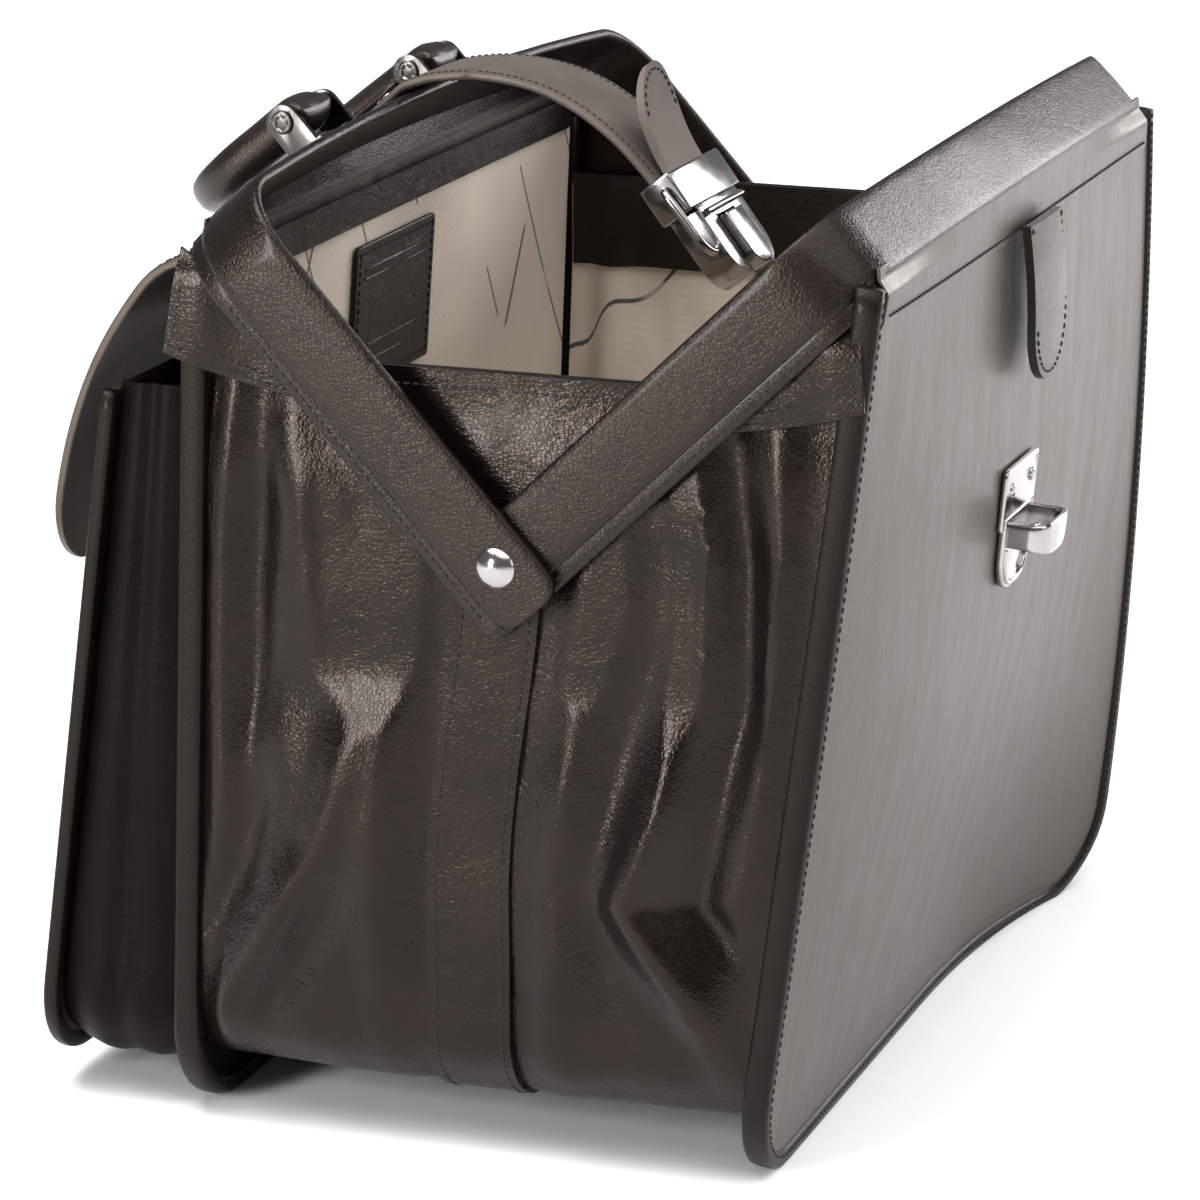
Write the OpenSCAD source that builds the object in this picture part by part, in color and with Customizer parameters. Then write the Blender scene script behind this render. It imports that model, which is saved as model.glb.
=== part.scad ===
// Doctor bag with a hinged mouth frame, an outer pocket, a padded handle
// and a closing strap with a push lock. It stands open on a flat surface.
// +Z is up, +Y is the pocket side (back), X runs along the mouth.

/* [Body] */
// Width of the walls along X
body_w = 360; // [320:1:400]
// Distance between the lower seams of the two walls
base_depth = 204; // [180:1:220]
// Height of the lower seams above the surface
seam_z = 18; // [15:1:22]
// Radius of the walls' lower corners
corner_r = 38; // [25:1:50]
// Shift of the whole bag that centres its outline on the origin
centre_shift = -2; // [-10:0.1:10]

/* [Walls] */
// Thickness of the outer wall leather
wall_t = 3.2; // [2.5:0.1:3.5]
// Thickness of the stiffener boards
board_t = 2; // [1.5:0.1:2.2]
// Thickness of the lining fabric
lining_t = 1; // [0.8:0.1:1.2]
// Width of the edge binding
binding_w = 6.6; // [5:0.1:8]
// Bulge of the front wall at mid height
front_bulge = 12; // [0:1:14]
// Bulge of the back wall at mid height
back_bulge = 4; // [0:1:6]
// Height of the leather facings inside the mouth
facing_h = 34; // [24:1:40]
// Height of the facing along the top of the back wall
back_facing_h = 8; // [6:1:12]

/* [Mouth frame] */
// Height of the frame's pivot rivets above the surface
pivot_z = 207.7; // [200:0.1:215]
// Distance of the pivot rivets in front of the mid plane
pivot_off = 16.5; // [10:0.1:20]
// Length of the back frame's arms, pivot to bar
back_arm = 146; // [142:1:150]
// Length of the front frame's arms, pivot to bar
front_arm = 156; // [152:1:160]
// Tilt of the back arms from vertical
back_tilt = 42; // [40:0.5:44]
// Tilt of the front arms from vertical
front_tilt = 46; // [44:0.5:48]
// Width of the covered frame strip
strip_w = 26; // [24:1:28]
// Thickness of the covered frame strip
strip_t = 4.2; // [4:0.1:4.6]
// Thickness of the steel inside the strip
steel_t = 1.4; // [1:0.1:1.6]
// Rise of the bars' arch between their corners
bar_rise = 6; // [0:1:8]
// Bend radius of the frame corners
bend_r = 26; // [20:1:32]

/* [Handle] */
// Distance from the middle to each bracket along X
bracket_x = 58; // [54:1:62]
// Width of a bracket between its outer faces
bracket_w = 37; // [34:1:40]
// Height of the handle pins above the bar's mid line
pin_rise = 22; // [20:0.5:24]
// Radius of the handle pins
pin_r = 3; // [2.5:0.1:3.5]
// Angle of the hanging handle below horizontal
handle_drop = 39; // [36:1:42]
// Reach of the handle from its pins
handle_reach = 58; // [54:1:60]

/* [Closing strap] */
// Width of the strap
strap_w = 47; // [42:1:50]
// Thickness of the strap
strap_t = 3.2; // [2.6:0.1:3.6]

/* [Pocket] */
// Depth of the outer pocket at its base
pocket_base = 54; // [45:1:58]
// Depth of the outer pocket at its mouth
pocket_mouth = 24; // [20:1:30]
// Height of the pocket front above its lower edge
pocket_h = 242; // [220:1:245]

/* [Hidden] */
$fn = 48;

half_w = body_w / 2;
base_half = base_depth / 2;
gap = 0.1;                              // clearance between stacked layers
steps = 12;                             // points along a curved wall

// Outer edges of the two bars, measured outwards and upwards from the mid plane
half_strip = strip_w / 2 + 1;
front_out = pivot_off + front_arm * sin(front_tilt) + half_strip * cos(front_tilt);
front_top = pivot_z + front_arm * cos(front_tilt) - half_strip * sin(front_tilt);
back_out = -pivot_off + back_arm * sin(back_tilt) + half_strip * cos(back_tilt);
back_top = pivot_z + back_arm * cos(back_tilt) - half_strip * sin(back_tilt);

// Lean and length of the walls, from the lower seam to the bar's outer edge
front_lean = atan2(front_out - base_half, front_top - seam_z);
back_lean = atan2(back_out - base_half, back_top - seam_z);
front_len = norm([front_out - base_half, front_top - seam_z]);
back_len = norm([back_out - base_half, back_top - seam_z]);

// Layers of a wall, as distances outwards from its mid surface
skin_out = wall_t / 2;
skin_in = -wall_t / 2;
board_in = skin_in - gap - board_t;
lining_in = board_in - gap - lining_t;
facing_in = lining_in - gap - 1.4;
binding_in = lining_in - 0.4;
binding_out = skin_out + 1.4;

// How far each wall reaches below its seam so that its binding meets the surface
front_drop = (seam_z - binding_in * sin(front_lean)) / cos(front_lean);
back_drop = (seam_z - binding_out * sin(back_lean)) / cos(back_lean);
wall_top = 7;                           // the wall ends this far short of the bar

front_arm_x = half_w + 3.2;             // outer face of the front arms
back_arm_x = front_arm_x + strip_t + 0.6;
gusset_x = half_w - 3.6;                // outer face of the gussets
gusset_t = 2.2;
gusset_top = 268;
base_t = 2.4;
board_h = 3;

// ---------- placing ----------

module seat() translate([0, centre_shift, 0]) children();

// Local +Z runs up a wall from its lower seam, local +Y points out of the bag
module on_front_wall()
    seat() translate([0, -base_half, seam_z]) rotate([front_lean, 0, 0]) mirror([0, 1, 0]) children();
module on_back_wall()
    seat() translate([0, base_half, seam_z]) rotate([-back_lean, 0, 0]) children();

// Local +Z runs from the pivot to the bar, local +Y points out of the bag
module on_front_frame()
    seat() translate([0, -pivot_off, pivot_z]) rotate([front_tilt, 0, 0]) mirror([0, 1, 0]) children();
module on_back_frame()
    seat() translate([0, -pivot_off, pivot_z]) rotate([-back_tilt, 0, 0]) children();

// Draws a YZ outline and extrudes it along X between two places
module along_x(x0, x1) translate([x0, 0, 0]) rotate([90, 0, 90]) linear_extrude(x1 - x0) children();
// Draws an XZ outline and extrudes it along Y between two places
module along_y(y0, y1) translate([0, y1, 0]) rotate([90, 0, 0]) linear_extrude(y1 - y0) children();

module both_ends() { children(); mirror([1, 0, 0]) children(); }

// ---------- walls ----------

function bow(s, length, bulge) = s <= 0 ? 0 : bulge * sin(180 * s / length);

// Side view of one layer of a wall
module layer_profile(length, bulge, t0, t1, s0, s1) {
    heights = [for (i = [0:steps]) s0 + (s1 - s0) * i / steps];
    polygon(concat(
        [for (s = heights) [bow(s, length, bulge) + t0, s]],
        [for (i = [steps:-1:0]) [bow(heights[i], length, bulge) + t1, heights[i]]]));
}

// Face view of a wall: square above, two rounded corners below
module wall_outline(half, bottom, top, r) {
    translate([-half, bottom + r]) square([2 * half, top - bottom - r]);
    translate([-half + r, bottom]) square([2 * (half - r), r + 0.01]);
    for (side = [-1, 1]) translate([side * (half - r), bottom + r]) circle(r, $fn = 64);
}

module wall_layer(length, bulge, drop, inset, t0, t1, top) {
    intersection() {
        along_x(-half_w, half_w) layer_profile(length, bulge, t0, t1, -drop, length - wall_top);
        along_y(-30, 30) wall_outline(half_w - inset, -drop + inset, top, corner_r - inset);
    }
}

module wall_binding(length, bulge, drop, top) {
    intersection() {
        along_x(-half_w, half_w) layer_profile(length, bulge, binding_in, binding_out, -drop, length);
        along_y(-30, 30) difference() {
            wall_outline(half_w, -drop, top, corner_r);
            wall_outline(half_w - binding_w, -drop + binding_w, top + 1, corner_r - binding_w);
        }
    }
}

// Trims what would reach below the surface the bag stands on
module cut_flat() difference() {
    children();
    translate([-half_w, -base_depth, -20]) cube([body_w, 2 * base_depth, 20]);
}

skin_inset = binding_w + 0.1;
binding_top = 272;                      // the corner wings take over above this

module front_panel() color("#3a3634") on_front_wall()
    wall_layer(front_len, front_bulge, front_drop, skin_inset, skin_in, skin_out, front_len);
module front_stiffener() color("#8a7358") on_front_wall()
    wall_layer(front_len, front_bulge, front_drop, skin_inset, board_in, skin_in - gap, front_len - 12);
module front_binding() color("#2b2725") cut_flat() on_front_wall()
    wall_binding(front_len, front_bulge, front_drop, binding_top);

lining_foot = seam_z - 6;               // the wall linings start above the bottom lining
module inner_skin(length, bulge, t0, t1, s0, s1, half, corner = 24) {
    intersection() {
        along_x(-half, half) layer_profile(length, bulge, t0, t1, s0, s1);
        along_y(-30, 30) wall_outline(half, s0, s1, corner);
    }
}

module front_lining() color("#b9aba0") on_front_wall()
    inner_skin(front_len, front_bulge, lining_in, board_in - gap, lining_foot, front_len - 12, half_w - 10);
module front_facing() color("#2a2422") on_front_wall()
    inner_skin(front_len, front_bulge, facing_in, lining_in - gap,
               front_len - 12 - facing_h, front_len - 12, half_w - 12);

module back_panel() color("#332f2d") on_back_wall()
    wall_layer(back_len, back_bulge, back_drop, skin_inset, skin_in, skin_out, back_len);
module back_stiffener() color("#8a7358") on_back_wall()
    wall_layer(back_len, back_bulge, back_drop, skin_inset, board_in, skin_in - gap, back_len - 12);
module back_binding() color("#2b2725") cut_flat() on_back_wall()
    wall_binding(back_len, back_bulge, back_drop, binding_top);
module back_lining() color("#b9aba0") on_back_wall()
    inner_skin(back_len, back_bulge, lining_in, board_in - gap, lining_foot, back_len - 12, half_w - 10);
module back_facing() color("#2a2422") on_back_wall()
    inner_skin(back_len, back_bulge, facing_in, lining_in - gap,
               back_len - 12 - back_facing_h, back_len - 12, half_w - 12, 4);

patch_x = -12;                          // middle of the patch along X
patch_w = 74;
patch_s = [208, 261];                   // lower and upper edge, up the wall
module lining_patch() color("#2c2624") on_back_wall() intersection() {
    along_x(patch_x - patch_w / 2, patch_x + patch_w / 2)
        layer_profile(back_len, back_bulge, lining_in - gap - 1.8, lining_in - gap, 0, back_len - 12);
    along_y(-30, 30) translate([patch_x - patch_w / 2, patch_s[0]]) square([patch_w, patch_s[1] - patch_s[0]]);
}

// ---------- bottom and gussets ----------

// Outward place of a wall's mid surface at a height above the table
function wall_out(z, lean, length, bulge) =
    base_half + tan(lean) * (z - seam_z) + bow((z - seam_z) / cos(lean), length, bulge);

// Side view of the space between the two walls, drawn in by a margin
module between_walls(margin, low, high) {
    heights = [for (i = [0:steps]) low + (high - low) * i / steps];
    polygon(concat(
        [for (z = heights) [margin - wall_out(z, front_lean, front_len, front_bulge), z]],
        [for (i = [steps:-1:0]) [wall_out(heights[i], back_lean, back_len, back_bulge) - margin, heights[i]]]));
}

wall_depth = -lining_in + 1.2;          // from the wall's mid surface to clear space inside it
bend_in = 30;                           // outer radius where the gusset turns under

module bottom_panel() color("#2b2725") seat()
    translate([-half_w + 3.6 + bend_in, -base_half + wall_depth, seam_z])
        cube([2 * (gusset_x - bend_in), base_depth - 2 * wall_depth, base_t]);

module base_board() color("#8a7358") seat()
    translate([-gusset_x + bend_in, -base_half + wall_depth + 1, seam_z + base_t])
        cube([2 * (gusset_x - bend_in), base_depth - 2 * wall_depth - 2, board_h]);

module bottom_lining() color("#b9aba0") seat()
    translate([-gusset_x + bend_in, -base_half + wall_depth + 1, seam_z + base_t + board_h])
        cube([2 * (gusset_x - bend_in), base_depth - 2 * wall_depth - 2, lining_t]);

// End view of one gusset layer that comes down and turns under the bag
module turned_strip(out, thick, high) {
    translate([out - thick, seam_z + bend_in]) square([thick, high - seam_z - bend_in]);
    translate([gusset_x - bend_in, seam_z + bend_in]) intersection() {
        difference() { circle(out - gusset_x + bend_in); circle(out - thick - gusset_x + bend_in); }
        translate([0.05, -60]) square(60);
    }
}

module gusset_layer(out, thick, high, margin, half_y = 200) {
    intersection() {
        along_y(-half_y, half_y) turned_strip(out, thick, high);
        along_x(100, 200) between_walls(margin, -5, high);
    }
}

module gusset_skin() gusset_layer(gusset_x, gusset_t, gusset_top, wall_depth);
module gusset_right() color("#231f1e") seat() gusset_skin();
module gusset_left() color("#231f1e") seat() mirror([1, 0, 0]) gusset_skin();

module end_lining() gusset_layer(gusset_x - gusset_t - gap, lining_t, gusset_top - 4, wall_depth + 1.5);
module end_lining_right() color("#b9aba0") seat() end_lining();
module end_lining_left() color("#b9aba0") seat() mirror([1, 0, 0]) end_lining();

module gusset_facing() intersection() {
    x1 = gusset_x - gusset_t - 2 * gap - lining_t;
    along_x(x1 - 1.4, x1) between_walls(wall_depth + 3, gusset_top - facing_h, gusset_top);
}
module gusset_facing_right() color("#2a2422") seat() gusset_facing();
module gusset_facing_left() color("#2a2422") seat() mirror([1, 0, 0]) gusset_facing();

band_w = 29;
band_t = 1.5;
module gusset_band() color("#262120") seat() {
    translate([0, 2 - pivot_off, 0]) {
        both_ends() gusset_layer(gusset_x + gap + band_t, band_t, gusset_top - 40, 0, band_w / 2);
        translate([-gusset_x + bend_in, -band_w / 2, seam_z - gap - band_t])
            cube([2 * (gusset_x - bend_in), band_w, band_t]);
    }
}

// ---------- mouth frame ----------

// Face view of a bent strip, drawn from the pivot up: two arms and an arched bar
module bent_strip(out_x, arm, thick, end) {
    function rise(x) = bar_rise * (1 - pow(x / (out_x - bend_r), 2));
    function outer(r, half) = concat(
        [for (a = [0:7.5:90]) [half - r + r * cos(a), arm - bend_r + thick / 2 + r * sin(a)]],
        [for (i = [1:9]) let (x = (half - r) * (1 - i / 5)) [x, arm - bend_r + thick / 2 + r + rise(x)]],
        [for (a = [90:7.5:180]) [-half + r + r * cos(a), arm - bend_r + thick / 2 + r * sin(a)]]);
    difference() {
        polygon(concat([[out_x, end]], outer(bend_r, out_x), [[-out_x, end]]));
        polygon(concat([[out_x - thick, end - 1]], outer(bend_r - thick, out_x - thick),
                       [[-out_x + thick, end - 1]]));
    }
}

arm_end = 19;                           // the arms run this far past the pivot
module frame_strip(out_x, arm, thick, width, end)
    along_y(-width / 2, width / 2) bent_strip(out_x, arm, thick, end);

module frame_cover(out_x, arm, hole) difference() {
    union() {
        frame_strip(out_x, arm, strip_t, strip_w, -arm_end);
        both_ends() translate([out_x - strip_t / 2 - 1.1, strip_w / 2, -arm_end + 6])
            cube([2.2, 5.5, arm - 36 + arm_end]);
    }
    frame_strip(out_x - (strip_t - steel_t) / 2 + gap, arm, steel_t + 2 * gap, strip_w - 4, -arm_end + 3);
    if (hole > 0) for (side = [-1, 1]) translate([side * out_x, 0, 0])
        rotate([0, 90, 0]) cylinder(r = hole, h = 24, center = true);
}

module frame_steel(out_x, arm, hole) difference() {
    frame_strip(out_x - (strip_t - steel_t) / 2, arm, steel_t, strip_w - 4.6, -arm_end + 3.5);
    for (side = [-1, 1]) translate([side * out_x, 0, 0])
        rotate([0, 90, 0]) cylinder(r = hole, h = 24, center = true);
}

rivet_r = 2.4;
module front_frame_cover() color("#2f2b29") on_front_frame() frame_cover(front_arm_x, front_arm, 0);
module front_frame_steel() color("#8d9094") on_front_frame() frame_steel(front_arm_x, front_arm, rivet_r + 0.6);
module back_frame_cover() color("#2f2b29") on_back_frame() frame_cover(back_arm_x, back_arm, rivet_r + 0.1);
module back_frame_steel() color("#8d9094") on_back_frame() frame_steel(back_arm_x, back_arm, rivet_r + 0.1);

dome_r = 6.8;
dome_h = 3;
module pivot_rivets() color("#c9ccd0") on_back_frame() both_ends()
    translate([back_arm_x, 0, 0]) rotate([0, 90, 0]) {
        translate([0, 0, -strip_t]) cylinder(r = rivet_r, h = strip_t + 0.5);
        sphere_cap = (dome_r * dome_r + dome_h * dome_h) / (2 * dome_h);
        translate([0, 0, 0.2]) intersection() {
            translate([0, 0, dome_h - sphere_cap]) sphere(sphere_cap, $fn = 96);
            cylinder(r = dome_r, h = dome_h);
        }
    }

// Triangular wings between the arms and the wall edges, as side views
wing_x = front_arm_x - strip_t - 0.4;
wing_t = 1.4;
module wing(points) along_x(wing_x - wing_t, wing_x) polygon(points);
back_wing_outline = [[base_half - 17, 296], [base_half - 17, 262], [61, 254], [36, 276], [62, 296]];
front_wing_outline = [[-front_out + 21, 294], [-base_half - 28, 288], [-base_half - 28, 262], [-92, 256], [-60, 278], [-98, 296]];
module back_wing_right() color("#1f1b1a") seat() wing(back_wing_outline);
module back_wing_left() color("#1f1b1a") seat() mirror([1, 0, 0]) wing(back_wing_outline);
module front_wing_right() color("#1f1b1a") seat() wing(front_wing_outline);
module front_wing_left() color("#1f1b1a") seat() mirror([1, 0, 0]) wing(front_wing_outline);

// ---------- handle ----------

pin_y = 9;                              // the pins sit this far outwards of the bar's middle
bar_face = back_arm + strip_t / 2;      // the back bar's outer face at its corners
face_here = bar_face + bar_rise * (1 - pow(bracket_x / (back_arm_x - bend_r), 2)) + 0.9;
pin_z = back_arm + pin_rise;
ear_t = 2.4;
ear_r = 6;

module handle_brackets() color("#c9ccd0") on_back_frame() both_ends() translate([bracket_x, 0, 0])
    for (side = [-1, 1]) difference() {
        union() {
            translate([side * (bracket_w / 2 - ear_t / 2), pin_y, pin_z]) rotate([0, 90, 0])
                cylinder(r = ear_r, h = ear_t, center = true);
            translate([side * (bracket_w / 2 - ear_t / 2) - ear_t / 2, pin_y - ear_r, face_here])
                cube([ear_t, 2 * ear_r, pin_z - face_here]);
            translate([side > 0 ? 0 : -bracket_w / 2, pin_y - ear_r - 2, face_here])
                cube([bracket_w / 2, 2 * ear_r + 2, 2]);
        }
        translate([0, pin_y, pin_z]) rotate([0, 90, 0]) cylinder(r = pin_r, h = bracket_w + 1, center = true);
        translate([side * 9, pin_y - 4, face_here - 1]) cylinder(r = 1.6, h = 4);
    }

module bracket_screws() color("#c9ccd0") on_back_frame() both_ends() translate([bracket_x, 0, 0])
    for (side = [-1, 1]) translate([side * 9, pin_y - 4, face_here]) {
        cylinder(r = 1.5, h = 2);
        translate([0, 0, 2]) cylinder(r = 3, h = 1);
    }

module handle_pins() color("#c9ccd0") on_back_frame() both_ends() translate([bracket_x, pin_y, pin_z])
    rotate([0, 90, 0]) {
        cylinder(r = pin_r, h = bracket_w, center = true);
        for (side = [-1, 1]) translate([0, 0, side * (bracket_w / 2 + 0.5)])
            cylinder(r = pin_r + 1, h = 1, center = true);
    }

// Local +Y runs along the hanging handle from the pins to its grip
module on_handle() on_back_frame() translate([0, pin_y, pin_z])
    rotate([back_tilt - handle_drop, 0, 0]) children();

leg_w = bracket_w - 2 * ear_t - 2.4;
sleeve_r = pin_r + 1.2;
module handle_sleeves() color("#b98d4b") on_handle() both_ends() translate([bracket_x, 0, 0])
    rotate([0, 90, 0]) difference() {
        cylinder(r = sleeve_r, h = leg_w, center = true);
        cylinder(r = pin_r + 0.05, h = leg_w + 1, center = true);
    }

grip_out = bracket_x + leg_w / 2;
grip_w = 22;
handle_t = 15;
module handle_outline(grow) {
    difference() {
        union() {
            for (side = [-1, 1]) translate([side * bracket_x - leg_w / 2 - grow, 0])
                square([leg_w + 2 * grow, handle_reach - 20]);
            translate([-grip_out + 20, handle_reach - grip_w - grow]) square([2 * (grip_out - 20), grip_w + 2 * grow]);
            for (side = [-1, 1]) translate([side * (grip_out - 20), handle_reach - 20]) circle(20 + grow);
        }
        translate([-bracket_x + leg_w / 2 + grow, -1])
            square([2 * bracket_x - leg_w - 2 * grow, handle_reach - grip_w + 1 - grow]);
    }
}

module handle_body(t, grow) {
    translate([0, 0, -t / 2]) linear_extrude(t) handle_outline(grow);
}

module handle_cover() color("#2b2725") on_handle() difference() {
    union() {
        handle_body(handle_t, 0);
        both_ends() translate([bracket_x, 0, 0]) rotate([0, 90, 0])
            cylinder(r = handle_t / 2, h = leg_w, center = true);
    }
    both_ends() translate([bracket_x, 0, 0]) rotate([0, 90, 0])
        cylinder(r = sleeve_r + 0.05, h = leg_w + 1, center = true);
    core_space(0.1);
}

module core_space(extra) {
    translate([-grip_out + 12 - extra, handle_reach - 16 - extra, -3.5 - extra])
        cube([2 * (grip_out - 12 + extra), 10 + 2 * extra, 7 + 2 * extra]);
    both_ends() translate([bracket_x - 5 - extra, 12 - extra, -3.5 - extra])
        cube([10 + 2 * extra, handle_reach - 28 + extra, 7 + 2 * extra]);
}
module handle_core() color("#6b5b4a") on_handle() core_space(0);

// ---------- closing strap ----------

strap_a = back_arm + strip_t / 2 + bar_rise + 1.2;      // underside of the strap on the bar
hinge_n = -11;                                          // where the strap leaves the bar
tail_gap = 4.2;                                         // room for the strap to fold back
module strap_tail() color("#2f2b29") on_back_frame() difference() {
    translate([-strap_w / 2, hinge_n + tail_gap, strap_a])
        cube([strap_w, strip_w / 2 - hinge_n - tail_gap - 1, strap_t]);
    for (side = [-1, 1]) translate([side * 13, 0, strap_a - 1]) cylinder(r = 1.7, h = strap_t + 2);
}
module strap_rivets() color("#c9ccd0") on_back_frame() for (side = [-1, 1])
    translate([side * 13, 0, strap_a]) {
        cylinder(r = 1.6, h = strap_t + 0.1);
        translate([0, 0, strap_t + 0.1]) cylinder(r = 4, h = 1);
    }

// Side view of the arched strap, from the bar over the mouth to the lock
strap_hinge_a = strap_a + strap_t / 2;
strap_hinge = [-pivot_off + strap_hinge_a * sin(back_tilt) + hinge_n * cos(back_tilt),
               pivot_z + strap_hinge_a * cos(back_tilt) - hinge_n * sin(back_tilt)];
strap_line = [strap_hinge, [72, 334.6], [64, 336], [54, 336.8], [42, 336], [30, 333.5], [19, 329],
              [9, 323], [0, 316], [-8, 308], [-15, 300], [-21, 292]];
strap_mid = 5;                          // index of the point where the strap flexes

function unit(v) = v / norm(v);
function left_of(v) = [-v[1], v[0]];
function path_normal(path, i) =
    left_of(unit(path[min(i + 1, len(path) - 1)] - path[max(i - 1, 0)]));
module ribbon(path, i0, i1, t, off = 0) polygon(concat(
    [for (i = [i0:i1]) path[i] + path_normal(path, i) * (off - t / 2)],
    [for (i = [i1:-1:i0]) path[i] + path_normal(path, i) * (off + t / 2)]));

// A bar along X at a point of the strap's side view
module strap_knuckle(at, r, w = strap_w) translate([0, at[0], at[1]]) rotate([0, 90, 0])
    cylinder(r = r, h = w, center = true);

module closure_strap() color("#2f2b29") seat() difference() {
    union() {
        along_x(-strap_w / 2, strap_w / 2) ribbon(strap_line, 0, strap_mid, strap_t);
        strap_knuckle(strap_line[0], strap_t / 2);
    }
    strap_knuckle(strap_line[strap_mid], strap_t / 2 + 0.3, strap_w + 1);
}

// The lower half carries on to the lock, where its tip turns back up through the clamp
lock_at = strap_line[len(strap_line) - 1];
lock_step = strap_line[len(strap_line) - 2] - lock_at;
lock_turn = -atan2(lock_step[0], lock_step[1]);         // the strap's slope at the lock
module strap_end() color("#2f2b29") seat() {
    along_x(-strap_w / 2, strap_w / 2) ribbon(strap_line, strap_mid, len(strap_line) - 1, strap_t);
    strap_knuckle(strap_line[strap_mid], strap_t / 2);
    on_lock() translate([0, -strap_t - 0.6, 4]) intersection() {
        translate([-20, -strap_t / 2, 0]) cube([40, strap_t, 46]);
        along_y(-10, 10) {
            translate([-20, 0]) square([40, 26]);
            translate([0, 26]) circle(20);
        }
    }
}

// Local +Z points up the strap's end, local -Y out of the bag's front
module on_lock() translate([0, lock_at[0], lock_at[1]]) rotate([lock_turn, 0, 0]) children();

clamp_w = 54;
clamp_t = 13;
module lock_clamp() color("#c9ccd0") seat() on_lock() difference() {
    translate([-clamp_w / 2, -8.4, -1]) cube([clamp_w, clamp_t, 15]);
    translate([-clamp_w / 2 + 2, -6.6, -2]) cube([clamp_w - 4, clamp_t - 3.4, 17]);
}

case_w = 42;
case_h = 30;
module case_outline(half, low, r) {
    translate([-half, low + r]) square([2 * half, -low - r]);
    translate([-half + r, low]) square([2 * (half - r), r + 0.01]);
    for (side = [-1, 1]) translate([side * (half - r), low + r]) circle(r);
}
module lock_case() color("#c9ccd0") seat() on_lock() translate([0, 0, -1]) difference() {
    along_y(-8, 4) case_outline(case_w / 2, -case_h, 12);
    along_y(-6, 2.2) case_outline(case_w / 2 - 2, -case_h + 2, 10);
    translate([-9.5, -9, -case_h - 1]) cube([19, 6.7, case_h - 5]);
    translate([-12, 1, -case_h + 3]) cube([24, 5, 8]);
}

button_w = 17;
module lock_button() color("#b4b7bb") seat() on_lock() translate([0, -8, -1]) {
    translate([0, -3.2, 0]) along_y(0, 7) translate([0, -7]) case_outline(button_w / 2, -case_h + 7.6, 7);
    translate([-3.4, 3.7, -16]) cube([6.8, 1.5, 7]);
}
module lock_spring() color("#9a9da1") seat() on_lock() translate([0, -2.7, -13.5]) rotate([-90, 0, 0])
    difference() {
        cylinder(r = 2.6, h = 4.8);
        translate([0, 0, -0.5]) cylinder(r = 1.9, h = 6);
    }

// ---------- catch and pull tab on the front wall ----------

catch_s = 168;                          // middle of the catch, up the wall
catch_face = bow(catch_s, front_len, front_bulge) + skin_out;
catch_turn = 1.83;                      // the wall's own slope there
module on_catch() on_front_wall() translate([0, catch_face + 0.2, catch_s]) rotate([catch_turn, 0, 0]) children();

module catch_plate() color("#c9ccd0") on_catch() difference() {
    union() {
        along_y(0, 2) translate([-21, 4]) square([42, 24]);
        along_y(0, 2.6) hull() {
            translate([-18, 0]) square([36, 10]);
            for (side = [-1, 1]) translate([side * 6, -5]) circle(12, $fn = 32);
        }
    }
    for (side = [-1, 1]) translate([side * 13, 3, 20]) rotate([90, 0, 0]) cylinder(r = 1.6, h = 6);
}

module catch_loop() color("#c9ccd0") on_catch() difference() {
    along_y(2.7, 17) translate([-16, -1]) square([32, 11]);
    along_y(2.6, 14.6) translate([-13.5, -2]) square([27, 13]);
    for (side = [-1, 1]) translate([side * 16, 17, 0]) rotate([0, 0, 45]) cube([7, 7, 40], center = true);
}
module catch_pin() color("#b4b7bb") on_catch() translate([0, 8.6, 4.5]) rotate([90, 0, 0])
    { cylinder(r = 1.2, h = 5.8); sphere(2.2); }
module catch_backing() color("#9a9da1") on_catch() for (side = [-1, 1]) translate([side * 13, 0, 20])
    rotate([90, 0, 0]) cylinder(r = 1.5, h = 0.15);

tab_top = front_len - 9;
tab_w = 42;
tab_len = 56;
tab_face = bow(tab_top - 30, front_len, front_bulge) + skin_out + 0.8;
tab_turn = 9;
module pull_tab() color("#2f2b29") on_front_wall() translate([0, tab_face, tab_top]) rotate([tab_turn, 0, 0])
    along_y(0, 3) {
        translate([-tab_w / 2, -tab_len + tab_w / 2]) square([tab_w, tab_len - tab_w / 2]);
        translate([0, -tab_len + tab_w / 2]) circle(tab_w / 2);
    }

// ---------- outer pocket ----------

pocket_low = 10;                        // height of the pocket's lower edge
pocket_front_low = base_half + pocket_base;
pocket_front_high = base_half + pocket_mouth - 2;
pocket_lean = atan2(pocket_front_low - pocket_front_high, pocket_h);
pocket_len = norm([pocket_front_low - pocket_front_high, pocket_h]);
pocket_half = half_w - 4;
module on_pocket() seat() translate([0, pocket_front_low, pocket_low]) rotate([pocket_lean, 0, 0]) children();

module pocket_front() color("#332f2d") on_pocket() difference() {
    along_y(-1.3, 1.3) wall_outline(pocket_half - 6.1, 6.1, pocket_len, 28);
    translate([0, 3, snap_s]) rotate([90, 0, 0]) cylinder(r = 2.1, h = 6);
}
module pocket_binding() color("#2b2725") on_pocket() along_y(-2.6, 2.6) difference() {
    wall_outline(pocket_half, 0, pocket_len, 34);
    wall_outline(pocket_half - 6, 6, pocket_len + 1, 28);
}

// The pocket's gusset runs round three sides between the back wall and the pocket front
module pocket_gusset() color("#231f1e") seat() intersection() {
    along_y(60, 200) difference() {
        wall_outline(pocket_half - 7, pocket_low + 7, pocket_low + pocket_h - 6, 28);
        wall_outline(pocket_half - 9, pocket_low + 9, pocket_low + pocket_h, 26);
    }
    along_x(-half_w, half_w) polygon([
        [base_half + 5, pocket_low], [pocket_front_low - 4, pocket_low],
        [pocket_front_high - 2.4, pocket_low + pocket_h], [base_half + 5.4, pocket_low + pocket_h]]);
}

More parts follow.
